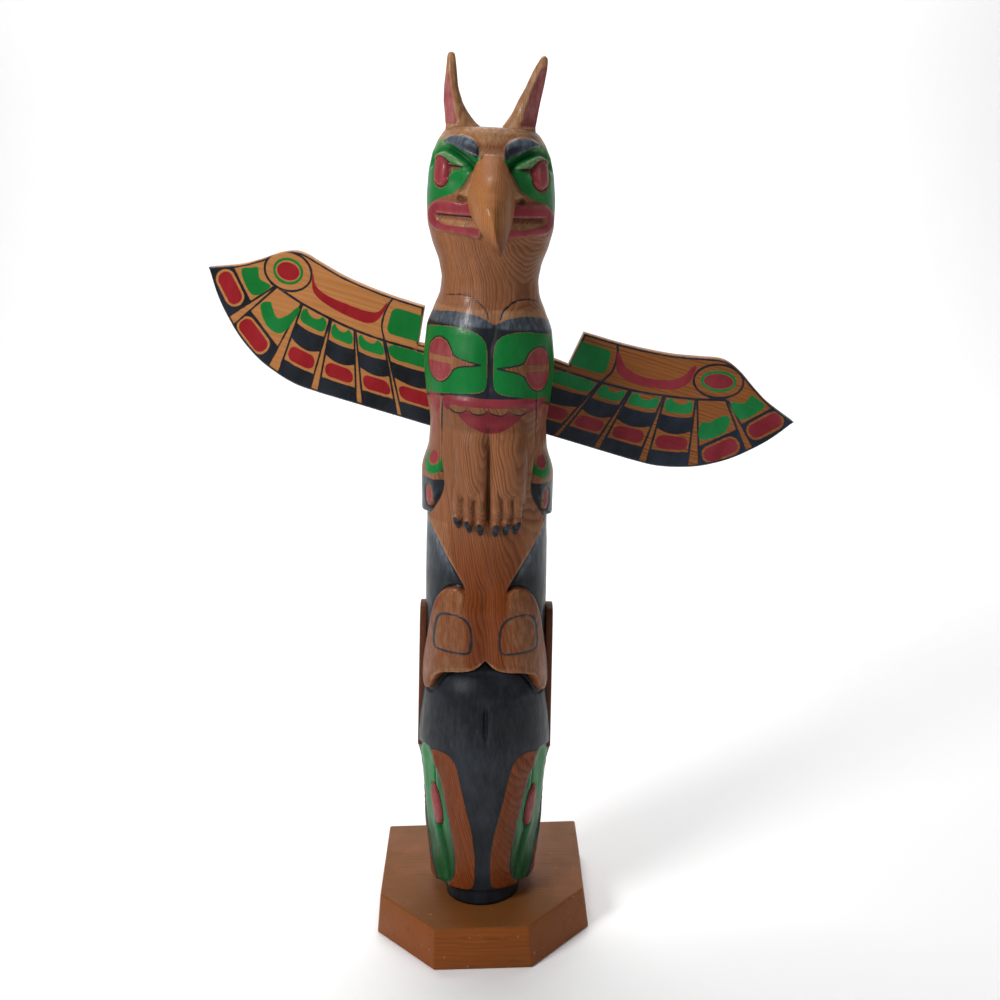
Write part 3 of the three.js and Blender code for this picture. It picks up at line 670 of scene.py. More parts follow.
def polePaint(s, x, z):
    # the painted areas, as signed distances in mm: above zero is paint
    a, ax = np.abs(s), np.abs(x)
    black, green, red = unpainted(len(z))

    def zone(low, high):
        return np.flatnonzero((z > low) & (z < high) & (a < 115))

    def lay(field, k, *limits):
        # paint where all the limits are above zero
        field[k] = np.maximum(field[k], np.clip(np.minimum.reduce(limits), bareWood, -bareWood))

    # head
    k = zone(575, 668)
    u, v = a[k], z[k]
    eye, browIn, lipIn = eyeDistance(s[k], v), inside(u, v, brow), inside(u, v, lips)
    corner = inside(u, v, eyeCorner)
    lay(green, k, inside(u, v, eyeGreen), -browIn, -eye - 1.7, -corner)
    lay(black, k, browIn)
    lay(black, k, stroke(lineDistance(u, v, [(38, 638.4), (29, 638.1), (20.5, 638.2)]), 1.4))
    lay(black, k, stroke(eye + 0.3, 1.2))
    lay(red, k, eye - 0.3)
    lay(red, k, lipIn - 0.6, -inside(u, v, innerLip) - 0.2, u - np.where(v < 593, 9, 13))
    # a black line along the top of the slit: painted shadow under the upper lip
    lay(black, k, stroke(v - 600.7, 1.1), 49 - u)

    # breast, belly panels with their ovals
    k = zone(425, 545)
    u, v = np.abs(breastAcross(s[k], z[k])), z[k] + bellyFall * np.clip(s[k], 0, 75)
    lay(black, k, stroke(lineDistance(u, v, collar), 1.3))
    across = np.abs(s[k] - 1)
    panel = inside(across, v, bellyPanel)
    bandTop = curve([(114, 519), (80, 522), (55, 523.8), (40, 525.2), (25, 525.6), (12, 523.3), (5, 520),
                     (0, 517.8)])
    bandLow = curve([(9, 459.5), (20, 460), (40, 457.8), (60, 454.3), (80, 450), (114, 446.5)])
    bib = np.vstack([bandTop, [(-2, 517), (-2, 457)], bandLow])
    drop = np.where(s[k] > 0, 1.2, -0.6)
    spike = np.array([(38, 499), (31.5, 492), (25.5, 488.9), (16, 486.9), (7, 485.4), (16, 484.2),
                      (25.5, 482.6), (31, 479.5), (36, 473)])
    leaf = np.maximum(oval(u, v + drop, *bellyOval, 16.2, 17.8), inside(u, v + drop, spike))
    lay(green, k, panel - 0.25, -leaf - 1.0)
    lay(black, k, inside(u, v, bib), -panel)
    lay(black, k, stroke(leaf + 0.6, 1.8), panel)
    lay(red, k, oval(u, v + drop, *bellyOval, 14.8, 16.4), np.abs(v + drop - 486.6) - 2.5)

    # carved mouth under the belly, with four teeth, and faded red down the sides
    k = zone(385, 470)
    u, v = s[k] - 1, z[k]
    tooth = (u + 33.5) / 16.2
    toothEdge = 451.6 - 5.6 * np.sqrt(np.clip(1 - (2 * (tooth - np.floor(tooth)) - 1) ** 2, 0, 1))
    inRow = 32.0 - np.abs(u + 1.2)
    lay(red, k, roundedBlock(u, v, 0, 453.6, 39.4, 5.9, 4.5), np.maximum(v - 452.2, np.abs(u + 1.2) - 31.5))
    lay(black, k, stroke(v - toothEdge, 1.6), inRow)
    lowerLip = 446.5 - 15.0 * np.clip(1 - (np.abs(u) / 28) ** 1.7, -1, 1)
    lay(red, k, toothEdge - v - 0.5, v - lowerLip, 29 - np.abs(u))
    mouthFrame = curve([(-2, 461.0), (28, 460.8), (36, 458.6), (39.6, 453), (41, 440), (41.4, 415),
                        (41.2, 394)])
    lay(black, k, stroke(lineDistance(np.abs(u), v, mouthFrame), 1.8 - 0.9 * smoothStep((440 - v) / 30)))
    lay(red, k, a[k] - 43, 62 - a[k], 458.6 - v, (v - 452) * 0.012 + 0.1)

    # fan tail at both sides
    k = zone(350, 432)
    u, v = a[k], z[k]
    lay(red, k, oval(u, v, *tailSpot, 6.4, 5.2))
    lay(green, k, oval(u, v, 53.6, 402.6, 14.0, 13.0), -oval(u, v, *tailSpot, 8.4, 6.8), 406 - v)
    lobe = np.minimum.reduce([385.5 + 0.05 * (60 - u) - v, v - 352.5, -inside(ax[k], v, hips) - 0.4, 110 - u])
    lay(black, k, lobe, -oval(u, v, *tailOval))
    lay(red, k, oval(u, v, *tailOval[:2], 4.0, 7.2))
    lay(black, k, stroke(u - 42.5, 1.3), 17 - np.abs(v - 410))

    # claws
    k = zone(338, 362)
    for middle, tip in toes:
        lay(black, k, np.minimum(oval(x[k], z[k], middle, tip + 3.4, 3.0, 6.2), 0.45))  # thin, the wood shows

    # whale: black all over but for the tail stock, flukes, stripes and green eye sides
    k = zone(-1, 353)
    u, v = a[k], z[k]
    bare = np.maximum(inside(ax[k], v, hips), inside(ax[k], v, fluke))
    stripe, side = inside(u, v, whaleStripe), inside(u, v, whaleGreen)
    cheek = np.minimum(u - 30, 76 + 0.8 * np.maximum(u - 60, 0) - v)  # bare wood behind the cheeks
    lay(black, k, 352.5 - v, -bare - 0.2, -stripe, -side - 0.2, -cheek, 106 - u)
    spindle = oval(u, v, *whaleEye)
    lay(green, k, side - 0.5, -spindle - 0.7)
    lay(red, k, spindle - 0.4)
    lay(black, k, stroke(spindle + 0.2, 1.3))
    lay(black, k, stroke(lineDistance(u, v, eyeSeam), 1.1))
    lay(black, k, stroke(side + 0.2, 1.6), 150 - v)
    lay(black, k, stroke(inside(ax[k], v, flukeWindow), 2.0), bare)
    lay(black, k, 13.8 - v, 120 - u)
    return black, green, red


# of the last three, neck and eyeSides set painted shade, and lowerMouth sets how much darker the lower mouth
# is
rubbingAndShade = {  # how much each place is rubbed, and how dark the last three are
    "edges": [(2.0, 0.45), (4.5, 0.25)],  # over a near and a wide reach in mm
    "besideStock": 0.5, "stockSides": 0.42, "flanks": 0.12, "crown": 0.85, "breast": 0.6, "ovals": 0.4,
    "temples": 0.5, "rightCheek": 0.3, "flukes": 0.45, "innerLip": 0.9, "whaleEyes": 1.0,
    "neck": 0.45, "lowerMouth": 0.6, "eyeSides": 0.55,
}


def wearDirtAndShade(z, turn, s, x, out):
    # above zero where the carving stands out and is rubbed, below zero where it is made darker: in hollows
    # for dirt and stain and as painted shade, on the neck and the whale's eye sides as painted shade, and on
    # the lower mouth
    p = rubbingAndShade
    worn = np.zeros(len(z))
    for reach, weight in p["edges"]:
        across = reach / 50
        moves = ((reach, 0), (-reach, 0), (0, across), (0, -across))
        around = [poleSurface(z + up, turn + aside)[3] for up, aside in moves]
        worn += weight * (out - np.mean(around, 0))
    worn *= np.where(worn > 0, 1 - 0.65 * smoothStep((440 - z) / 20), 1)  # less on the legs and the flukes
    a, ax = np.abs(s), np.abs(x)
    fore = smoothStep((104 - a) / 30)  # the plain back is handled less

    def band(low, high, soft):
        return fore * smoothStep((z - low) / soft) * smoothStep((high - z) / soft)

    # the black is rubbed grey beside the tail stock, and a little on the whale's flanks
    beside = np.abs(inside(ax, z, hips) + 2.5)
    scuffed = fore * smoothStep((z - 284) / 34) * smoothStep((355 - z) / 5)
    stockSides = p["stockSides"] * smoothStep((a - 22) / 12)
    worn += scuffed * (p["besideStock"] * np.exp(-(beside / 3.5) ** 2) + stockSides)
    worn += p["flanks"] * band(140, 222, 10) * smoothStep((a - 24) / 22)
    # the crown, the band over the breast, the ovals, the temples and the right cheek are rubbed too
    breastLow = 513 - bellyFall * np.clip(s, 0, 75)
    temple, rightCheek = smoothStep((a - 38) / 8), smoothStep((s - 24) / 14)
    worn += p["crown"] * fore * smoothStep((z - 651) / 8) + p["breast"] * band(breastLow, 531, 3.5)
    worn += p["ovals"] * rise(oval(np.abs(s - 1), z, *bellyOval, 15, 17), 4)
    worn += p["temples"] * band(645, 661, 7) * temple + p["rightCheek"] * band(604, 652, 10) * rightCheek
    flukeFace = rise(inside(ax, z, fluke) - 3, 5) * (z < 312)
    worn += p["flukes"] * flukeFace * smoothStep((ax - 10) / 8)
    # the bare lip inside the beak's mouth is pale; the neck is darker with painted shade below the chin,
    # stronger towards its right side, and the lower mouth is darker
    worn += p["innerLip"] * rise(inside(a, z, innerLip) - 1.2, 1.6) * smoothStep((599 - z) / 2)
    worn -= p["neck"] * band(530, 592, 22) * smoothStep((s + 40) / 60)
    worn -= p["lowerMouth"] * band(428, 462, 6) * smoothStep((44 - a) / 8)
    # the hollowed eye sides of the whale get painted shade, stronger low down and weaker towards their outer
    # upper part, and the claws are not rubbed
    eyeSide = rise(inside(a, z, whaleGreen), 2.0) * (z < 160)
    outer = 0.4 * smoothStep((a - 52) / 6) * smoothStep((z - 84) / 16)
    worn -= eyeSide * (p["eyeSides"] + 0.5 * smoothStep((80 - z) / 30) - outer)
    worn += p["whaleEyes"] * rise(oval(a, z, *whaleEye), 3)  # its eyes are faded
    worn *= 1 - smoothStep((360 - z) / 5) * smoothStep((z - 342) / 3) * (ax < 30)
    return np.clip(worn, -1.5, 1.5)


earLook = {  # height, middle, width, and where the red hollow begins, outward from the middle line
    "left": [(650, 20, 30, 28), (660, 20.5, 33, 28), (665, 21.4, 31, 27.8), (668, 22.3, 28.6, 27.8),
             (672, 25.0, 24.0, 28.4), (677, 27.3, 20.2, 29.2), (682.5, 29.4, 17, 30.1), (688, 31, 14.7, 31.0),
             (700, 32.4, 10.9, 33.0), (714, 32.3, 7.9, 35.3), (720, 32.4, 6.6, 36.6), (723, 32.4, 5.2, 37),
             (724, 32.4, 2.4, 37)],
    "right": [(650, 20, 30, 24), (660, 20.4, 30, 23.5), (665, 20.8, 28, 23.2), (669, 21.3, 26.5, 23.0),
              (675, 23.8, 23.6, 24.4), (681, 26.4, 20.8, 26.0), (689, 29, 18.4, 28.0),
              (702, 33.8, 14.4, 32.6), (711, 36.5, 11.6, 36.4), (717, 38.4, 9.0, 40.2),
              (721.5, 39.8, 6.4, 44), (723.5, 40.2, 4.4, 44), (724.4, 40.3, 2.0, 44)],
    "depth": [(650, 20), (664, 18.5), (676, 16), (691, 13), (706, 9.6), (716, 7.4), (722, 5.4), (724.4, 2.2)],
    "aim": 0.86, "setBack": 8, "hollow": 0.14, "floor": 669.5, "ceiling": 716, "rows": 60, "around": 44,
}


def earPiece(side):
    # a horn-like ear: a tapering blade, its outer front face hollowed and painted
    look = earLook
    table = look["left" if side < 0 else "right"]
    up = np.linspace(0, 1, look["rows"])
    turn = np.linspace(0, 2 * math.pi, look["around"], endpoint=False)
    t, phi = [part.ravel() for part in np.meshgrid(up, turn, indexing="ij")]
    z = table[0][0] + (table[-1][0] - table[0][0]) * t
    middle, width, ridgeAt = [through(table, z, column) for column in (1, 2, 3)]
    width, depth = width / 2, through(look["depth"], z, 1) / 2
    # across grows outward, deep is negative in front
    across, deep = np.cos(phi) * width, -np.sin(phi) * depth
    cosAim, sinAim = math.cos(look["aim"]), math.sin(look["aim"])
    start = np.clip((ridgeAt - middle) / width, -1, 1)
    limit = start * width * cosAim + depth * np.sqrt(1 - start ** 2) * sinAim
    over = np.clip(across * cosAim - deep * sinAim - limit, 0, None)
    along = across * sinAim + deep * cosAim
    reach = np.sqrt(width * depth)
    hollow = look["hollow"] * reach * np.clip(1 - (along / (0.9 * reach)) ** 2, 0, 1) * (over > 0)
    push = (over + hollow) * smoothStep((z - look["floor"]) / 1.6) * smoothStep((look["ceiling"] - z) / 6)
    across, deep = across - push * cosAim, deep + push * sinAim
    points = np.stack([side * (middle + across), deep - look["setBack"], z], 1)
    scoop = np.minimum.reduce([(over - 0.15) * 5, z - look["floor"] - 0.6, look["ceiling"] - z])
    faces = gridFaces(look["rows"], look["around"])
    count = look["around"]
    last = len(points) - count
    points = np.vstack([points, points[:count].mean(0), points[-count:].mean(0)])
    faces += endFans(count, last, len(points) - 2, len(points) - 1)
    layers = dict(zip(paintLayers, unpainted(len(points))))
    layers["red"] = np.r_[np.clip(scoop, bareWood, -bareWood), bareWood, bareWood]
    layers["worn"] = np.full(len(points), 1.1)
    ear = makePiece("ear", points, faces, layers)
    fixNormals(ear)
    return ear


def buildPole():
    rows, angles, z, turn = poleGrid()
    points, s, x, out = poleSurface(z, turn)
    faces = gridFaces(len(rows), len(angles))
    columns = len(angles)
    # the flat underside, and a low crown between the ears
    points = np.vstack([points, [(0, 0, 0)]])
    faces += [[len(points) - 1, (j + 1) % columns, j] for j in range(columns)]
    rim = points[(len(rows) - 1) * columns:len(rows) * columns]
    start, rings, crown = len(points), poleLook["crownRings"], poleLook["crownRise"]
    for step in range(1, rings):
        keep = 1 - step / rings
        ring = rim * [keep, keep, 1] + [0, 0, crown * (1 - keep ** 2)]
        points = np.vstack([points, ring])
    before = (len(rows) - 1) * columns
    for step in range(rings - 1):
        here = start + step * columns
        faces += ringFaces(before, here, columns)
        before = here
    points = np.vstack([points, [(0, 0, rows[-1] + crown)]])
    faces += [[before + j, before + (j + 1) % columns, len(points) - 1] for j in range(columns)]
    more = len(points) - len(z)
    painted = zip(paintLayers, polePaint(s, x, z))
    layers = {name: np.r_[paint, np.full(more, bareWood)] for name, paint in painted}
    layers["worn"] = np.r_[wearDirtAndShade(z, turn, s, x, out), np.zeros(more)]
    layers["black"][len(z)] = -bareWood  # the middle of the underside
    pole = makePiece("carved_pole", points, faces, layers)
    for side in (-1, 1):
        ear = earPiece(side)
        join = pole.modifiers.new("ear", "BOOLEAN")
        join.operation, join.solver, join.object = "UNION", "MANIFOLD", ear
        merged = bpy.data.meshes.new_from_object(pole.evaluated_get(bpy.context.evaluated_depsgraph_get()))
        pole.modifiers.clear()
        pole.data = merged
        bpy.data.objects.remove(ear)
    mesh = pole.data
    place = np.empty(len(mesh.vertices) * 3, np.float32)
    mesh.vertices.foreach_get("co", place)
    mesh.vertices.foreach_set("co", settle(place.reshape(-1, 3).astype(float)).astype(np.float32).ravel())
    mesh.update()
    finishPiece(pole, paintedWood("carved_cedar_painted", woods["pole"]), "painted_cedar", "pole")
    print("pole carved:", len(mesh.polygons), "faces")


beakLook = {
    # height, how far out from the middle of the log: ridge, widest place, underside, half width
    "stations": [
        (574.4, 84.6, 84.2, 83.6, 0.5), (576, 87.2, 84.4, 81.4, 1.8), (580, 91, 83, 77, 4.6),
        (585, 93.7, 79, 71, 7.4), (591, 95.2, 73, 60, 10.8), (599, 95.5, 63, 44, 15.0),
        (604, 94.8, 56, 38, 16.8), (609, 93, 50, 36, 18.0), (615, 88.6, 47, 36, 18.8),
        (622, 81.6, 47, 36, 18.2), (629, 74, 47, 36, 16.4), (634, 68, 47, 36, 14.6),
        (640, 60.8, 47, 36, 12.4), (645, 54.6, 45, 36, 10.8), (648.5, 50.4, 44, 36, 9.4)],
    "tip": (7.9, -84, 574.3), "root": (0, -43, 648.5), "tipRows": (574.4, 574.8, 575.6),
    "rows": (576.6, 648.4, 86), "around": 88,
    "hook": {"from": 616, "fall": 40, "aside": 7.6},  # the hook turns a little to the right
    "knot": {"out": 1.5, "across": -1.0, "high": 626, "wide": 3.2, "tall": 4.5},  # stands on the ridge
}


def buildBeak():
    look, hook, knot = beakLook, beakLook["hook"], beakLook["knot"]
    height = np.r_[look["tipRows"], np.linspace(*look["rows"])]
    around = np.linspace(0, 2 * math.pi, look["around"], endpoint=False)
    z, phi = [part.ravel() for part in np.meshgrid(height, around, indexing="ij")]
    ridge, widest, under, half = [through(look["stations"], z, column) for column in (1, 2, 3, 4)]
    forward, across = np.cos(phi), np.sin(phi)
    # in front the section goes from round at the root to a keel at the hook
    sharp = 0.1 + 0.62 * smoothStep((hook["from"] - z) / 24)
    rounded, keel = np.abs(across), (1 - np.clip(forward, 0, 1) ** 1.5) ** 0.85
    x = np.sign(across) * half * np.where(forward > 0, rounded * (1 - sharp) + keel * sharp, rounded)
    x += hook["aside"] * np.clip((hook["from"] - z) / hook["fall"], 0, 1) ** 1.9
    y = -(widest + np.where(forward > 0, ridge - widest, widest - under) * forward)
    away = ((x - knot["across"]) / knot["wide"]) ** 2 + ((z - knot["high"]) / knot["tall"]) ** 2
    y -= knot["out"] * np.exp(-away) * (forward > 0)
    points = np.vstack([np.stack([x, y, z], 1), look["tip"], look["root"]])
    faces = gridFaces(len(height), len(around))
    count, last = len(around), (len(height) - 1) * len(around)
    faces += endFans(count, last, len(points) - 2, len(points) - 1)
    layers = dict(zip(paintLayers, unpainted(len(points))))
    layers["worn"] = np.r_[np.clip(forward - 0.6, 0, 1) * 0.5, 0, 0]
    beak = makePiece("hooked_beak", settle(points), faces, layers)
    fixNormals(beak)
    finishPiece(beak, paintedWood("beak_cedar_varnished", woods["beak"]), "beak_cedar", "beak")
    print("beak shaped")


wingLook = {"length": 191, "slope": 18.7, "round": 1.5, "step": 0.95, "frontRows": 118, "backRows": 22,
            "lowEdge": -96.5, "straightTo": 70, "tabTop": -31, "tabStart": -4, "tabRise": 4 / 46,
            "paintDeep": 1.2, "rubbed": (0.1, 3), "rootBlock": (6, -19, 21.0, 11.3, 5.5)}
# Each wing in its own frame: along the wing outward, then up. A wedge of bare wood parts two feathers:
# its point at the shoulder, the middle of its foot at the wing's edge, and the width there.
leftWing = {
    "side": -1, "shoulderEnd": 136, "corner": (-32.6, 522.8), "reach": 0.965, "scale": 1.02, "tab": 50,
    "wedges": [((130.3, -20), (160.5, -58.1), 7), ((104.8, -29), (114.6, -91), 10),
               ((76.7, -33), (74.2, -97), 6.5), ((53.7, -35.5), (31.3, -97), 4.6),
               ((26.1, -37), (-6.6, -97), 3.4), ((-16, -36), (-45, -97), 3.4)],
    "knuckle": (123.5, -4.9, 21.6, 16.8, 0.03), "knuckleGreen": (12.6, 10.2), "knuckleRed": (10.0, 7.4),
    "crescent": [(102.1, 0), (97.1, -9.6), (84.8, -14.8), (62.7, -17.2), (45, -17.4), (37.4, -14.3),
                 (33, -5.0), (32.0, -5.2), (34.6, -17.8), (41, -26), (54.2, -27.3), (77, -24), (95, -17.6),
                 (101, -8.4)],
    "footFeather": [(139.4, -38.8), (132, -33.6), (128.5, -38), (122, -45.0), (114, -40), (107.5, -31.6),
                    (105, -34), (108.5, -46), (114, -55.5), (121, -57.5), (131, -52.5)],
    "blocks": [(168.6, -32.4, 14.4, 6.5, 47), (138.6, -65.2, 15.8, 6.7, 36)],
}
rightWing = {
    "side": 1, "shoulderEnd": 131, "corner": (103.2, 496.6), "reach": 1.045, "scale": 0.98, "tab": 78,
    "wedges": [((130.3, -19), (165, -57.6), 6), ((106.6, -27), (123.8, -89), 9),
               ((80.1, -31.5), (80.1, -97), 6.5), ((51.7, -36), (39.2, -97), 4.6),
               ((26.1, -37.4), (3.4, -97), 3.6), ((-16, -36), (-42, -97), 3.4)],
    "knuckle": (119.2, -6.0, 21.6, 15.6, 0.24), "knuckleGreen": (14.2, 8.6), "knuckleRed": (12.0, 6.4),
    "crescent": [(33, -7.6), (36.2, -12.2), (43.3, -18.5), (56.8, -21.7), (72.4, -19.9), (83.7, -15.8),
                 (90.6, -9.3), (93.9, -1.4), (97, 1.5), (98, -1.5), (96.6, -13.6), (90.9, -21.2),
                 (81.6, -26.1), (64.5, -28.9), (48.4, -29.3), (38.4, -25.8), (34, -20.6), (31.4, -8.1)],
    "footFeather": [(117.4, -45), (123.5, -43.2), (130.1, -36), (136.7, -32.8), (139.6, -38.4),
                    (138.1, -48.6), (130, -56), (121.4, -60.5), (117.4, -55)],
    "blocks": [(169, -31.6, 14.8, 6.7, 48), (140.4, -64.4, 15.0, 6.7, 44)],
}
endFeather = curve([(163, -14.6), (155, -10.8), (149.5, -9.2), (145.5, -17.8), (135, -20.8), (140.5, -29),
                    (148.5, -32.5),
                    (157, -25.5)], closed=True)  # the green of the last feather on both wings
wingTop = curve([(0, 0), (37, 0.6), (73, 4.0), (100, 9.8), (112, 12.7), (122, 12.8), (134, 8), (150, -2.5),
                 (166, -11.5), (191, -21)], steps=10)
wingLow = curve([(70, -96.5), (90, -95.5), (108, -91.5), (128, -84), (148, -71.5), (164, -57), (178, -41),
                 (191, -21.2)], steps=10)
shoulder = curve([(-90, -36), (-10, -36.8), (26, -37.2), (52, -36), (78, -32.6), (104, -27.5), (118, -23.6),
                  (132, -19.5), (150, -13), (191, 3)])
rootArc = curve([(29, -1), (31.6, -8), (32.6, -18), (31.4, -27), (26, -37)])
# The four inner feathers, measured down from the shoulder line, on one 61 mm long
feather = {"long": 61, "greenMiddle": 7.4, "greenHalf": 6.0, "bandTop": 15.4, "bandLow": 27.6, "smile": 4.2,
           "redMiddle": 39.4, "redHalf": 5.9, "endTop": 47.6, "edge": 2.0}


def lowEdgeAt(a):
    return np.where(a < wingLook["straightTo"], wingLook["lowEdge"],
                    np.interp(a, wingLow[:, 0], wingLow[:, 1]))


def wingPaint(a, h, look):
    # the painted areas, from the place along the wing outward and up, as signed distances in mm
    black, green, red = unpainted(len(a))

    def lay(field, *limits):
        # paint where all the limits are above zero
        np.maximum(field, np.clip(np.minimum.reduce(limits), bareWood, -bareWood), out=field)

    shoulderAt = np.interp(a, shoulder[:, 0], shoulder[:, 1])
    lowAt = lowEdgeAt(a)
    below = shoulderAt - h
    edge = inside(a, h, wingEdge())

    # the wedges, as distance across from each one's middle line, and its half width there
    lines, wedge = [], np.full(len(a), bareWood)
    for tip, foot, width in look["wedges"]:
        t = np.clip((tip[1] - h) / (tip[1] - foot[1]), 0, 1.2)
        middle = tip[0] + (foot[0] - tip[0]) * t
        lean = math.cos(math.atan2(foot[0] - tip[0], tip[1] - foot[1]))
        lines.append((middle, width / 2 * t))
        wedge = np.maximum(wedge, np.minimum(width / 2 * t - np.abs(a - middle) * lean, tip[1] - h))

    # inner feathers: green cup, black band with a hanging edge, red block, black end
    p = feather
    for number, (outer, inner) in enumerate(zip(lines[1:], lines[2:])):
        middle = (outer[0] - outer[1] + inner[0] + inner[1]) / 2
        half = (outer[0] - outer[1] - inner[0] - inner[1]) / 2
        u, v = a - middle, below / (shoulderAt - lowAt) * p["long"]
        within, whole, broad = half - np.abs(u), np.maximum(half, 1), np.maximum(half, 6)
        bulge = p["smile"] * np.clip(1 - (u / whole) ** 2, 0, 1)
        cup = roundedBlock(u / whole * 12, v, 0, p["greenMiddle"], 12 - 27 / broad, p["greenHalf"], 4.6)
        if number < 3:
            cup = np.minimum(cup, -oval(u / whole * 12, v, 0.6, 0.2, 6.2, 5.6))
        lay(green, cup, within)
        lay(black, within, v - p["bandTop"] - bulge * 0.35, p["bandLow"] + bulge - v)
        block = roundedBlock(u / whole * 14, v, 0, p["redMiddle"], 14 - 44 / broad, p["redHalf"], 5.2)
        lay(red, block, within)
        lay(black, within, v - p["endTop"] + bulge * 0.2, -block - p["edge"])

    # the two end feathers
    for cu, cv, hu, hv, turn in look["blocks"]:
        angle = math.radians(turn)
        block = roundedBlock(a, h, cu, cv, hu, hv, 6.2, angle)
        lay(red, block)
        past = (a - cu) * math.sin(angle) - (h - cv) * math.cos(angle) + hv + 4.6
        own = (a - lines[0][0]) if cu > 150 else np.minimum(lines[0][0] - a, a - lines[1][0])
        lay(black, past, -block - p["edge"], own, below, -wedge)
    lay(green, inside(a, h, endFeather))
    lay(green, inside(a, h, curve(look["footFeather"], closed=True)))
    lay(black, stroke(wedge + 0.7, 1.8), below, np.where(a > 190, -1.0, 1.0))
    lay(black, stroke(below, 2.1), look["shoulderEnd"] - a)
    lay(black, stroke(edge - 1.5, 1.5))

    # the shoulder: root block, arc and red crescent
    lay(green, roundedBlock(a, h, *wingLook["rootBlock"]), a + 3 - (h + 31) * 0.13)
    lay(black, stroke(lineDistance(a, h, rootArc), 1.8), -below + 1)
    lay(red, inside(a, h, curve(look["crescent"], closed=True, steps=4)))

    # the knuckle's rings go over the rest
    cu, cv, ru, rv, turn = look["knuckle"]
    ring = oval(a, h, cu, cv, ru, rv, turn)
    for layer in (black, green, red):
        np.minimum(layer, -ring, out=layer)
    lay(black, stroke(ring - 0.8, 2.0), edge)
    lay(green, stroke(oval(a, h, cu, cv, *look["knuckleGreen"], turn) - 0.4, 2.5))
    lay(red, oval(a, h, cu, cv, *look["knuckleRed"], turn))
    return black, green, red


def wingEdge():
    p = wingLook
    tab = [(-90, p["lowEdge"]), (-90, -27), (p["tabStart"], p["tabTop"])]
    return np.vstack([tab, wingTop, wingLow[::-1]])


def buildWing(node, look):
    front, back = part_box(node)[0].y / mm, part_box(node)[1].y / mm
    p = wingLook
    thick, step, tabStart = back - front, p["step"], p["tabStart"]
    columns = np.r_[np.arange(-look["tab"] / look["reach"], tabStart - 0.2, step),
                    np.linspace(tabStart, 0, 12), np.arange(step, p["length"] - 0.4, step),
                    p["length"] - 0.15]
    # the tab behind the pole, the step up to the shoulder, then the top of the wing
    tabTop = p["tabTop"] + (tabStart - columns) * p["tabRise"]
    stepTop, wingTopAt = p["tabTop"] * columns / tabStart, np.interp(columns, wingTop[:, 0], wingTop[:, 1])
    top = np.where(columns < tabStart + 0.01, tabTop, np.where(columns < 0, stepTop, wingTopAt))
    turn = np.radians([90, 60, 30, 0])[1:]
    up, down = np.linspace(0, 1, p["frontRows"]), np.linspace(1, 0, p["backRows"])
    sections = []
    for a, high, low in zip(columns, top, lowEdgeAt(columns)):
        # round the board: up the front, over the top edge, down the back, under the lower edge
        ease = min(p["round"], max((high - low) / 2 - 0.02, 0.01))
        span = high - low - 2 * ease
        over = [(ease * math.cos(q), ease - ease * math.sin(q)) for q in turn]
        loop = [(low + ease + span * t, 0.0) for t in up]
        loop += [(high - ease + c, d) for c, d in over]
        loop += [(high - ease + c, thick - d) for c, d in over[::-1]]
        loop += [(low + ease + span * t, thick) for t in down]
        loop += [(low + ease - c, thick - d) for c, d in over] + [(low + ease - c, d) for c, d in over[::-1]]
        sections += [(a, h, d) for h, d in loop]
    count = len(sections) // len(columns)
    flat = np.array(sections)
    layers = dict(zip(paintLayers, wingPaint(flat[:, 0], flat[:, 1], look)))
    for layer in layers.values():
        layer[flat[:, 2] > p["paintDeep"]] = bareWood
    layers["worn"] = np.where((flat[:, 2] > p["rubbed"][0]) & (flat[:, 2] < p["rubbed"][1]), 0.8, 0.0)
    tilt = math.radians(p["slope"])
    outward, upward = look["side"] * flat[:, 0] * look["reach"], flat[:, 1] * look["scale"]
    x = look["corner"][0] + outward * math.cos(tilt) + upward * math.sin(tilt)
    z = look["corner"][1] - outward * math.sin(tilt) + upward * math.cos(tilt) + baseTop
    faces = gridFaces(len(columns), count)
    lastRow = len(flat) - count
    faces += [list(range(count)), list(range(lastRow, lastRow + count))]
    wing = makePiece(node + "_board", np.stack([x, front + flat[:, 2], z], 1) * mm, faces, layers)
    fixNormals(wing)
    material = paintedWood(node + "_painted", woods[node], wingPaintsAndShade[node], wobble=0.4)
    finishPiece(wing, material, "painted_wing_board", node)
    print(node, "cut and painted")


def boardPiece(name, outline, low, high, axis, bevel):
    # a board of that outline, its edges eased. axis is the direction of its thickness.
    work = bmesh.new()
    order = {"X": lambda u, v, w: (w, u, v), "Z": lambda u, v, w: (u, v, w)}[axis]
    bottom = [work.verts.new(order(u, v, low)) for u, v in outline]
    work.faces.new(bottom)
    made = bmesh.ops.extrude_face_region(work, geom=work.faces[:])
    shift = order(0, 0, high - low)
    bmesh.ops.translate(work, verts=[v for v in made["geom"] if isinstance(v, bmesh.types.BMVert)], vec=shift)
    bmesh.ops.recalc_face_normals(work, faces=work.faces)
    sharp = [e for e in work.edges if e.calc_face_angle(0) > 0.5]
    bmesh.ops.bevel(work, geom=sharp, offset=bevel, segments=3, profile=0.5, affect="EDGES")
    bmesh.ops.triangulate(work, faces=[f for f in work.faces if len(f.verts) > 4])
    mesh = bpy.data.meshes.new(name)
    work.to_mesh(mesh)
    work.free()
    return newObject(name, mesh)


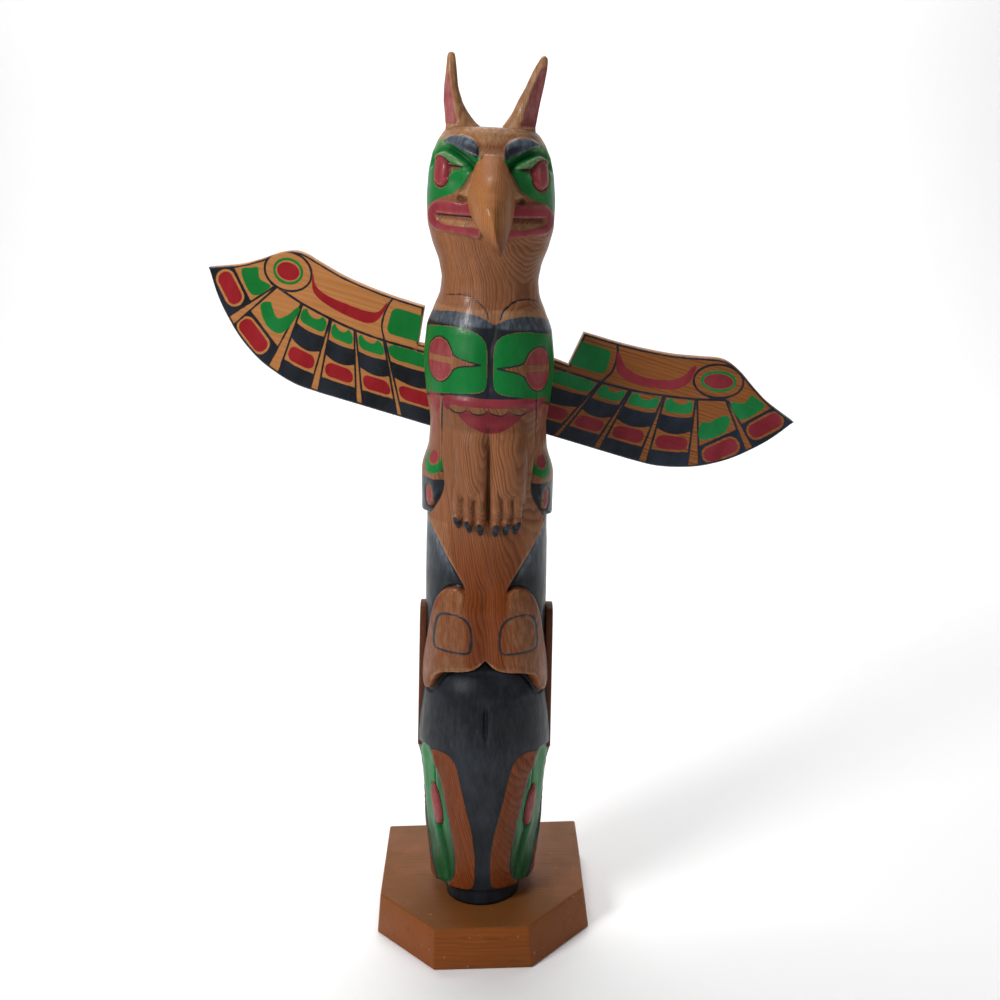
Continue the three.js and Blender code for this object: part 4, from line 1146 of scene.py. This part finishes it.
def stainedBoard(name, look, dark=None, dusty=None):
    # Softwood sawn and sanded, stained and wiped, nearly matt. The top of the base is dusty and scratched.
    material, tree, shader = newMaterial(name)
    place, shade, lines, fibre = solidWood(tree, look)
    cloud = stretched(tree, place, (1.0, 1.0, 1.0), 30.0, 4.0)
    # dark mixes a darker brown over the board in broad patches, which on the fins is painted shade
    if dark:
        over = add(tree, "MapRange", [cloud, 0.2, 0.8, 0.7, 0.9], **soft)
        shade = add(tree, "Mix", {0: over, 6: shade, 7: colour(dark)}, 2, **mixed)
    if dusty:
        height = add(tree, "SeparateXYZ", [place], "Z")
        onTop = add(tree, "MapRange", [height, dusty["from"] * mm, dusty["to"] * mm, 0.0, 1.0], **soft)
        veil = add(tree, "MapRange", [cloud, 0.3, 0.7, 0.45, 0.8], **soft)
        veiled = add(tree, "Math", [onTop, veil], **times)
        shade = add(tree, "Mix", {0: veiled, 6: shade, 7: colour(dusty["colour"])}, 2, **mixed)
        scratch = stretched(tree, place, (0.16, 1.0, 1.0), 160.0, 2.0, 0.5)
        scratched = add(tree, "MapRange", [scratch, 0.64, 0.72, 0.0, 0.28], **soft)
        shade = add(tree, "Mix", {0: scratched, 6: shade, 7: colour(look["dirtAndShade"])}, 2, **mixed)
        fleck = stretched(tree, place, (0.7, 1.0, 1.0), 210.0, 2.0, 0.6)
        flecked = add(tree, "MapRange", [fleck, 0.7, 0.74, 0.0, 0.55], **soft)
        shade = add(tree, "Mix", {0: flecked, 6: shade, 7: colour(look["rubbed"])}, 2, **mixed)
    relief = add(tree, "Math", [add(tree, "Math", [fibre, 0.3], **times), 0.25, lines],
                 operation="MULTIPLY_ADD")
    bump = add(tree, "Bump", {"Height": relief, "Strength": 0.5, "Distance": 0.35 * mm})
    tree.links.new(shade, shader.inputs["Base Color"])
    tree.links.new(add(tree, "MapRange", [cloud, 0.3, 0.7, 0.45, 0.6], **soft), shader.inputs["Roughness"])
    tree.links.new(bump, shader.inputs["Normal"])
    shader.inputs["Specular IOR Level"].default_value = dullShine
    return material


def buildFins():
    # stained wood, darkened as painted shade: the fins sit in shadow beside the whale
    material = stainedBoard("fin_board_stained_painted_shade", woods["pole"], dark="#54301f")
    p = finLook
    front, back, low, high = p["front"], p["back"], p["low"], p["high"]
    corners = [curve([(back - 2.4, low + 2.4), (back, low + 10)], steps=2),
               curve([(back, high - 30), (back - 5, high - 7.5), (back - 20, high)], steps=5),
               curve([(front + 10, high), (front + 2.5, high - 3), (front, high - 12)], steps=4)]
    outline = [(front, low), (back - 8, low)] + [tuple(q) for corner in corners for q in corner]
    for side, name in ((-1, "fin_left"), (1, "fin_right")):
        sides = sorted((side * p["outer"], side * (p["outer"] - p["thick"])))
        fin = boardPiece(name + "_board", outline, *sides, "X", p["eased"])
        place = np.array([v.co for v in fin.data.vertices])
        place[:, 0] -= side * p["leanIn"][side] * (place[:, 2] - low) / (high - low)
        for vertex, point in zip(fin.data.vertices, settle(place)):
            vertex.co = point
        finishPiece(fin, material, "dark_fin_board", name)


baseLook = {"cutAcross": 51.0, "cutDeep": 59.0, "flare": 4.4, "eased": 1.7,
            "dust": {"colour": "#67421f", "from": 36.4, "to": 38.0}}


def buildBase():
    low, high = [np.array(corner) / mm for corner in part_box("base")]
    thick, flare = high[2], baseLook["flare"]
    across, deep = baseLook["cutAcross"], baseLook["cutDeep"]
    halfWidth, back, front = high[0] - flare, high[1], low[1] + flare
    outline = [(-halfWidth, back), (-halfWidth, front + deep), (-halfWidth + across, front),
               (halfWidth - across, front), (halfWidth, front + deep), (halfWidth, back)]
    board = boardPiece("base_board_sanded", outline, 0, thick, "Z", baseLook["eased"])
    for vertex in board.data.vertices:
        splay = 1 + flare / halfWidth * (1 - vertex.co.z / thick)
        vertex.co.x *= splay
        if vertex.co.y < 0:
            vertex.co.y *= splay
        vertex.co *= mm
    material = stainedBoard("base_board_wiped_stain", woods["base"], dusty=baseLook["dust"])
    finishPiece(board, material, "base_board", "base")
    print("fins and base cut")


buildPole()
buildBeak()
buildWing("wing_left", leftWing)
buildWing("wing_right", rightWing)
buildFins()
buildBase()


stageLook = {"wide": 4.0, "near": -3.0, "bendFrom": 1.6, "bend": 0.9, "high": 4.0, "below": 0.0002}


def buildStage():
    # a pale floor that sweeps up into a backdrop, just under the object, in metres
    p = stageLook
    depth = [(p["near"], 0.0), (p["bendFrom"], 0.0)]
    for q in np.linspace(0.1, math.pi / 2, 14):
        depth.append((p["bendFrom"] + p["bend"] * math.sin(q), p["bend"] - p["bend"] * math.cos(q)))
    depth.append((p["bendFrom"] + p["bend"], p["high"]))
    points = [(x, y, z - p["below"]) for y, z in depth for x in (-p["wide"], p["wide"])]
    faces = [[2 * i, 2 * i + 1, 2 * i + 3, 2 * i + 2] for i in range(len(depth) - 1)]
    floor = makePiece("floor", points, faces)
    material, _, shader = newMaterial("pale_floor")
    shader.inputs["Base Color"].default_value = colour("#fafafa")
    shader.inputs["Roughness"].default_value = 0.8
    shader.inputs["Specular IOR Level"].default_value = 0.2
    coat(floor, material)


lamps = {  # places in metres, size across, watts
    "key": {"place": (-0.95, -0.9, 1.2), "aim": (0, 0, 0.42), "size": 0.5, "energy": 17},
    "fill": {"place": (1.5, -1.3, 0.9), "aim": (0, 0, 0.4), "size": 1.4, "energy": 1.2},
    "backdrop wash": {"place": (0, 1.0, 2.6), "aim": (0, 2.3, 0.6), "size": 1.6, "energy": 60},
}
skyStrength = 0.22


def buildLight():
    for name, look in lamps.items():
        lamp = bpy.data.lights.new(name, "AREA")
        lamp.shape, lamp.size, lamp.energy = "DISK", look["size"], look["energy"]
        holder = newObject(name, lamp)
        direction = np.subtract(look["aim"], look["place"])
        holder.rotation_euler = Vector(direction).to_track_quat("-Z", "Y").to_euler()
        holder.location = look["place"]
    world = bpy.data.worlds.new("studio")
    bpy.context.scene.world = world
    world.use_nodes = True
    sky = world.node_tree.nodes["Background"]
    sky.inputs["Color"].default_value = colour("#ffffff")
    sky.inputs["Strength"].default_value = skyStrength
    bpy.context.scene.view_settings.view_transform = "Standard"


cameraLook = {"place": (0.0268, -1.142, 0.7036), "pitch": 15.06, "roll": -1.64, "lens": 49.25, "sensor": 36}


def buildCamera():
    pitch, roll = math.radians(cameraLook["pitch"]), math.radians(cameraLook["roll"])
    forward = np.array([0, math.cos(pitch), -math.sin(pitch)])
    right = np.array([1.0, 0, 0])
    up = np.cross(right, forward)
    turnedRight = math.cos(roll) * right + math.sin(roll) * up
    turnedUp = -math.sin(roll) * right + math.cos(roll) * up
    lens = bpy.data.cameras.new("camera")
    lens.lens, lens.sensor_width, lens.clip_start = cameraLook["lens"], cameraLook["sensor"], 0.01
    holder = newObject("camera", lens)
    matrix = Matrix.Identity(4)
    for row in range(3):
        matrix[row][0], matrix[row][1], matrix[row][2] = turnedRight[row], turnedUp[row], -forward[row]
        matrix[row][3] = cameraLook["place"][row]
    holder.matrix_world = matrix
    bpy.context.scene.camera = holder


buildStage()
buildLight()
buildCamera()
print("stage, light and camera set")
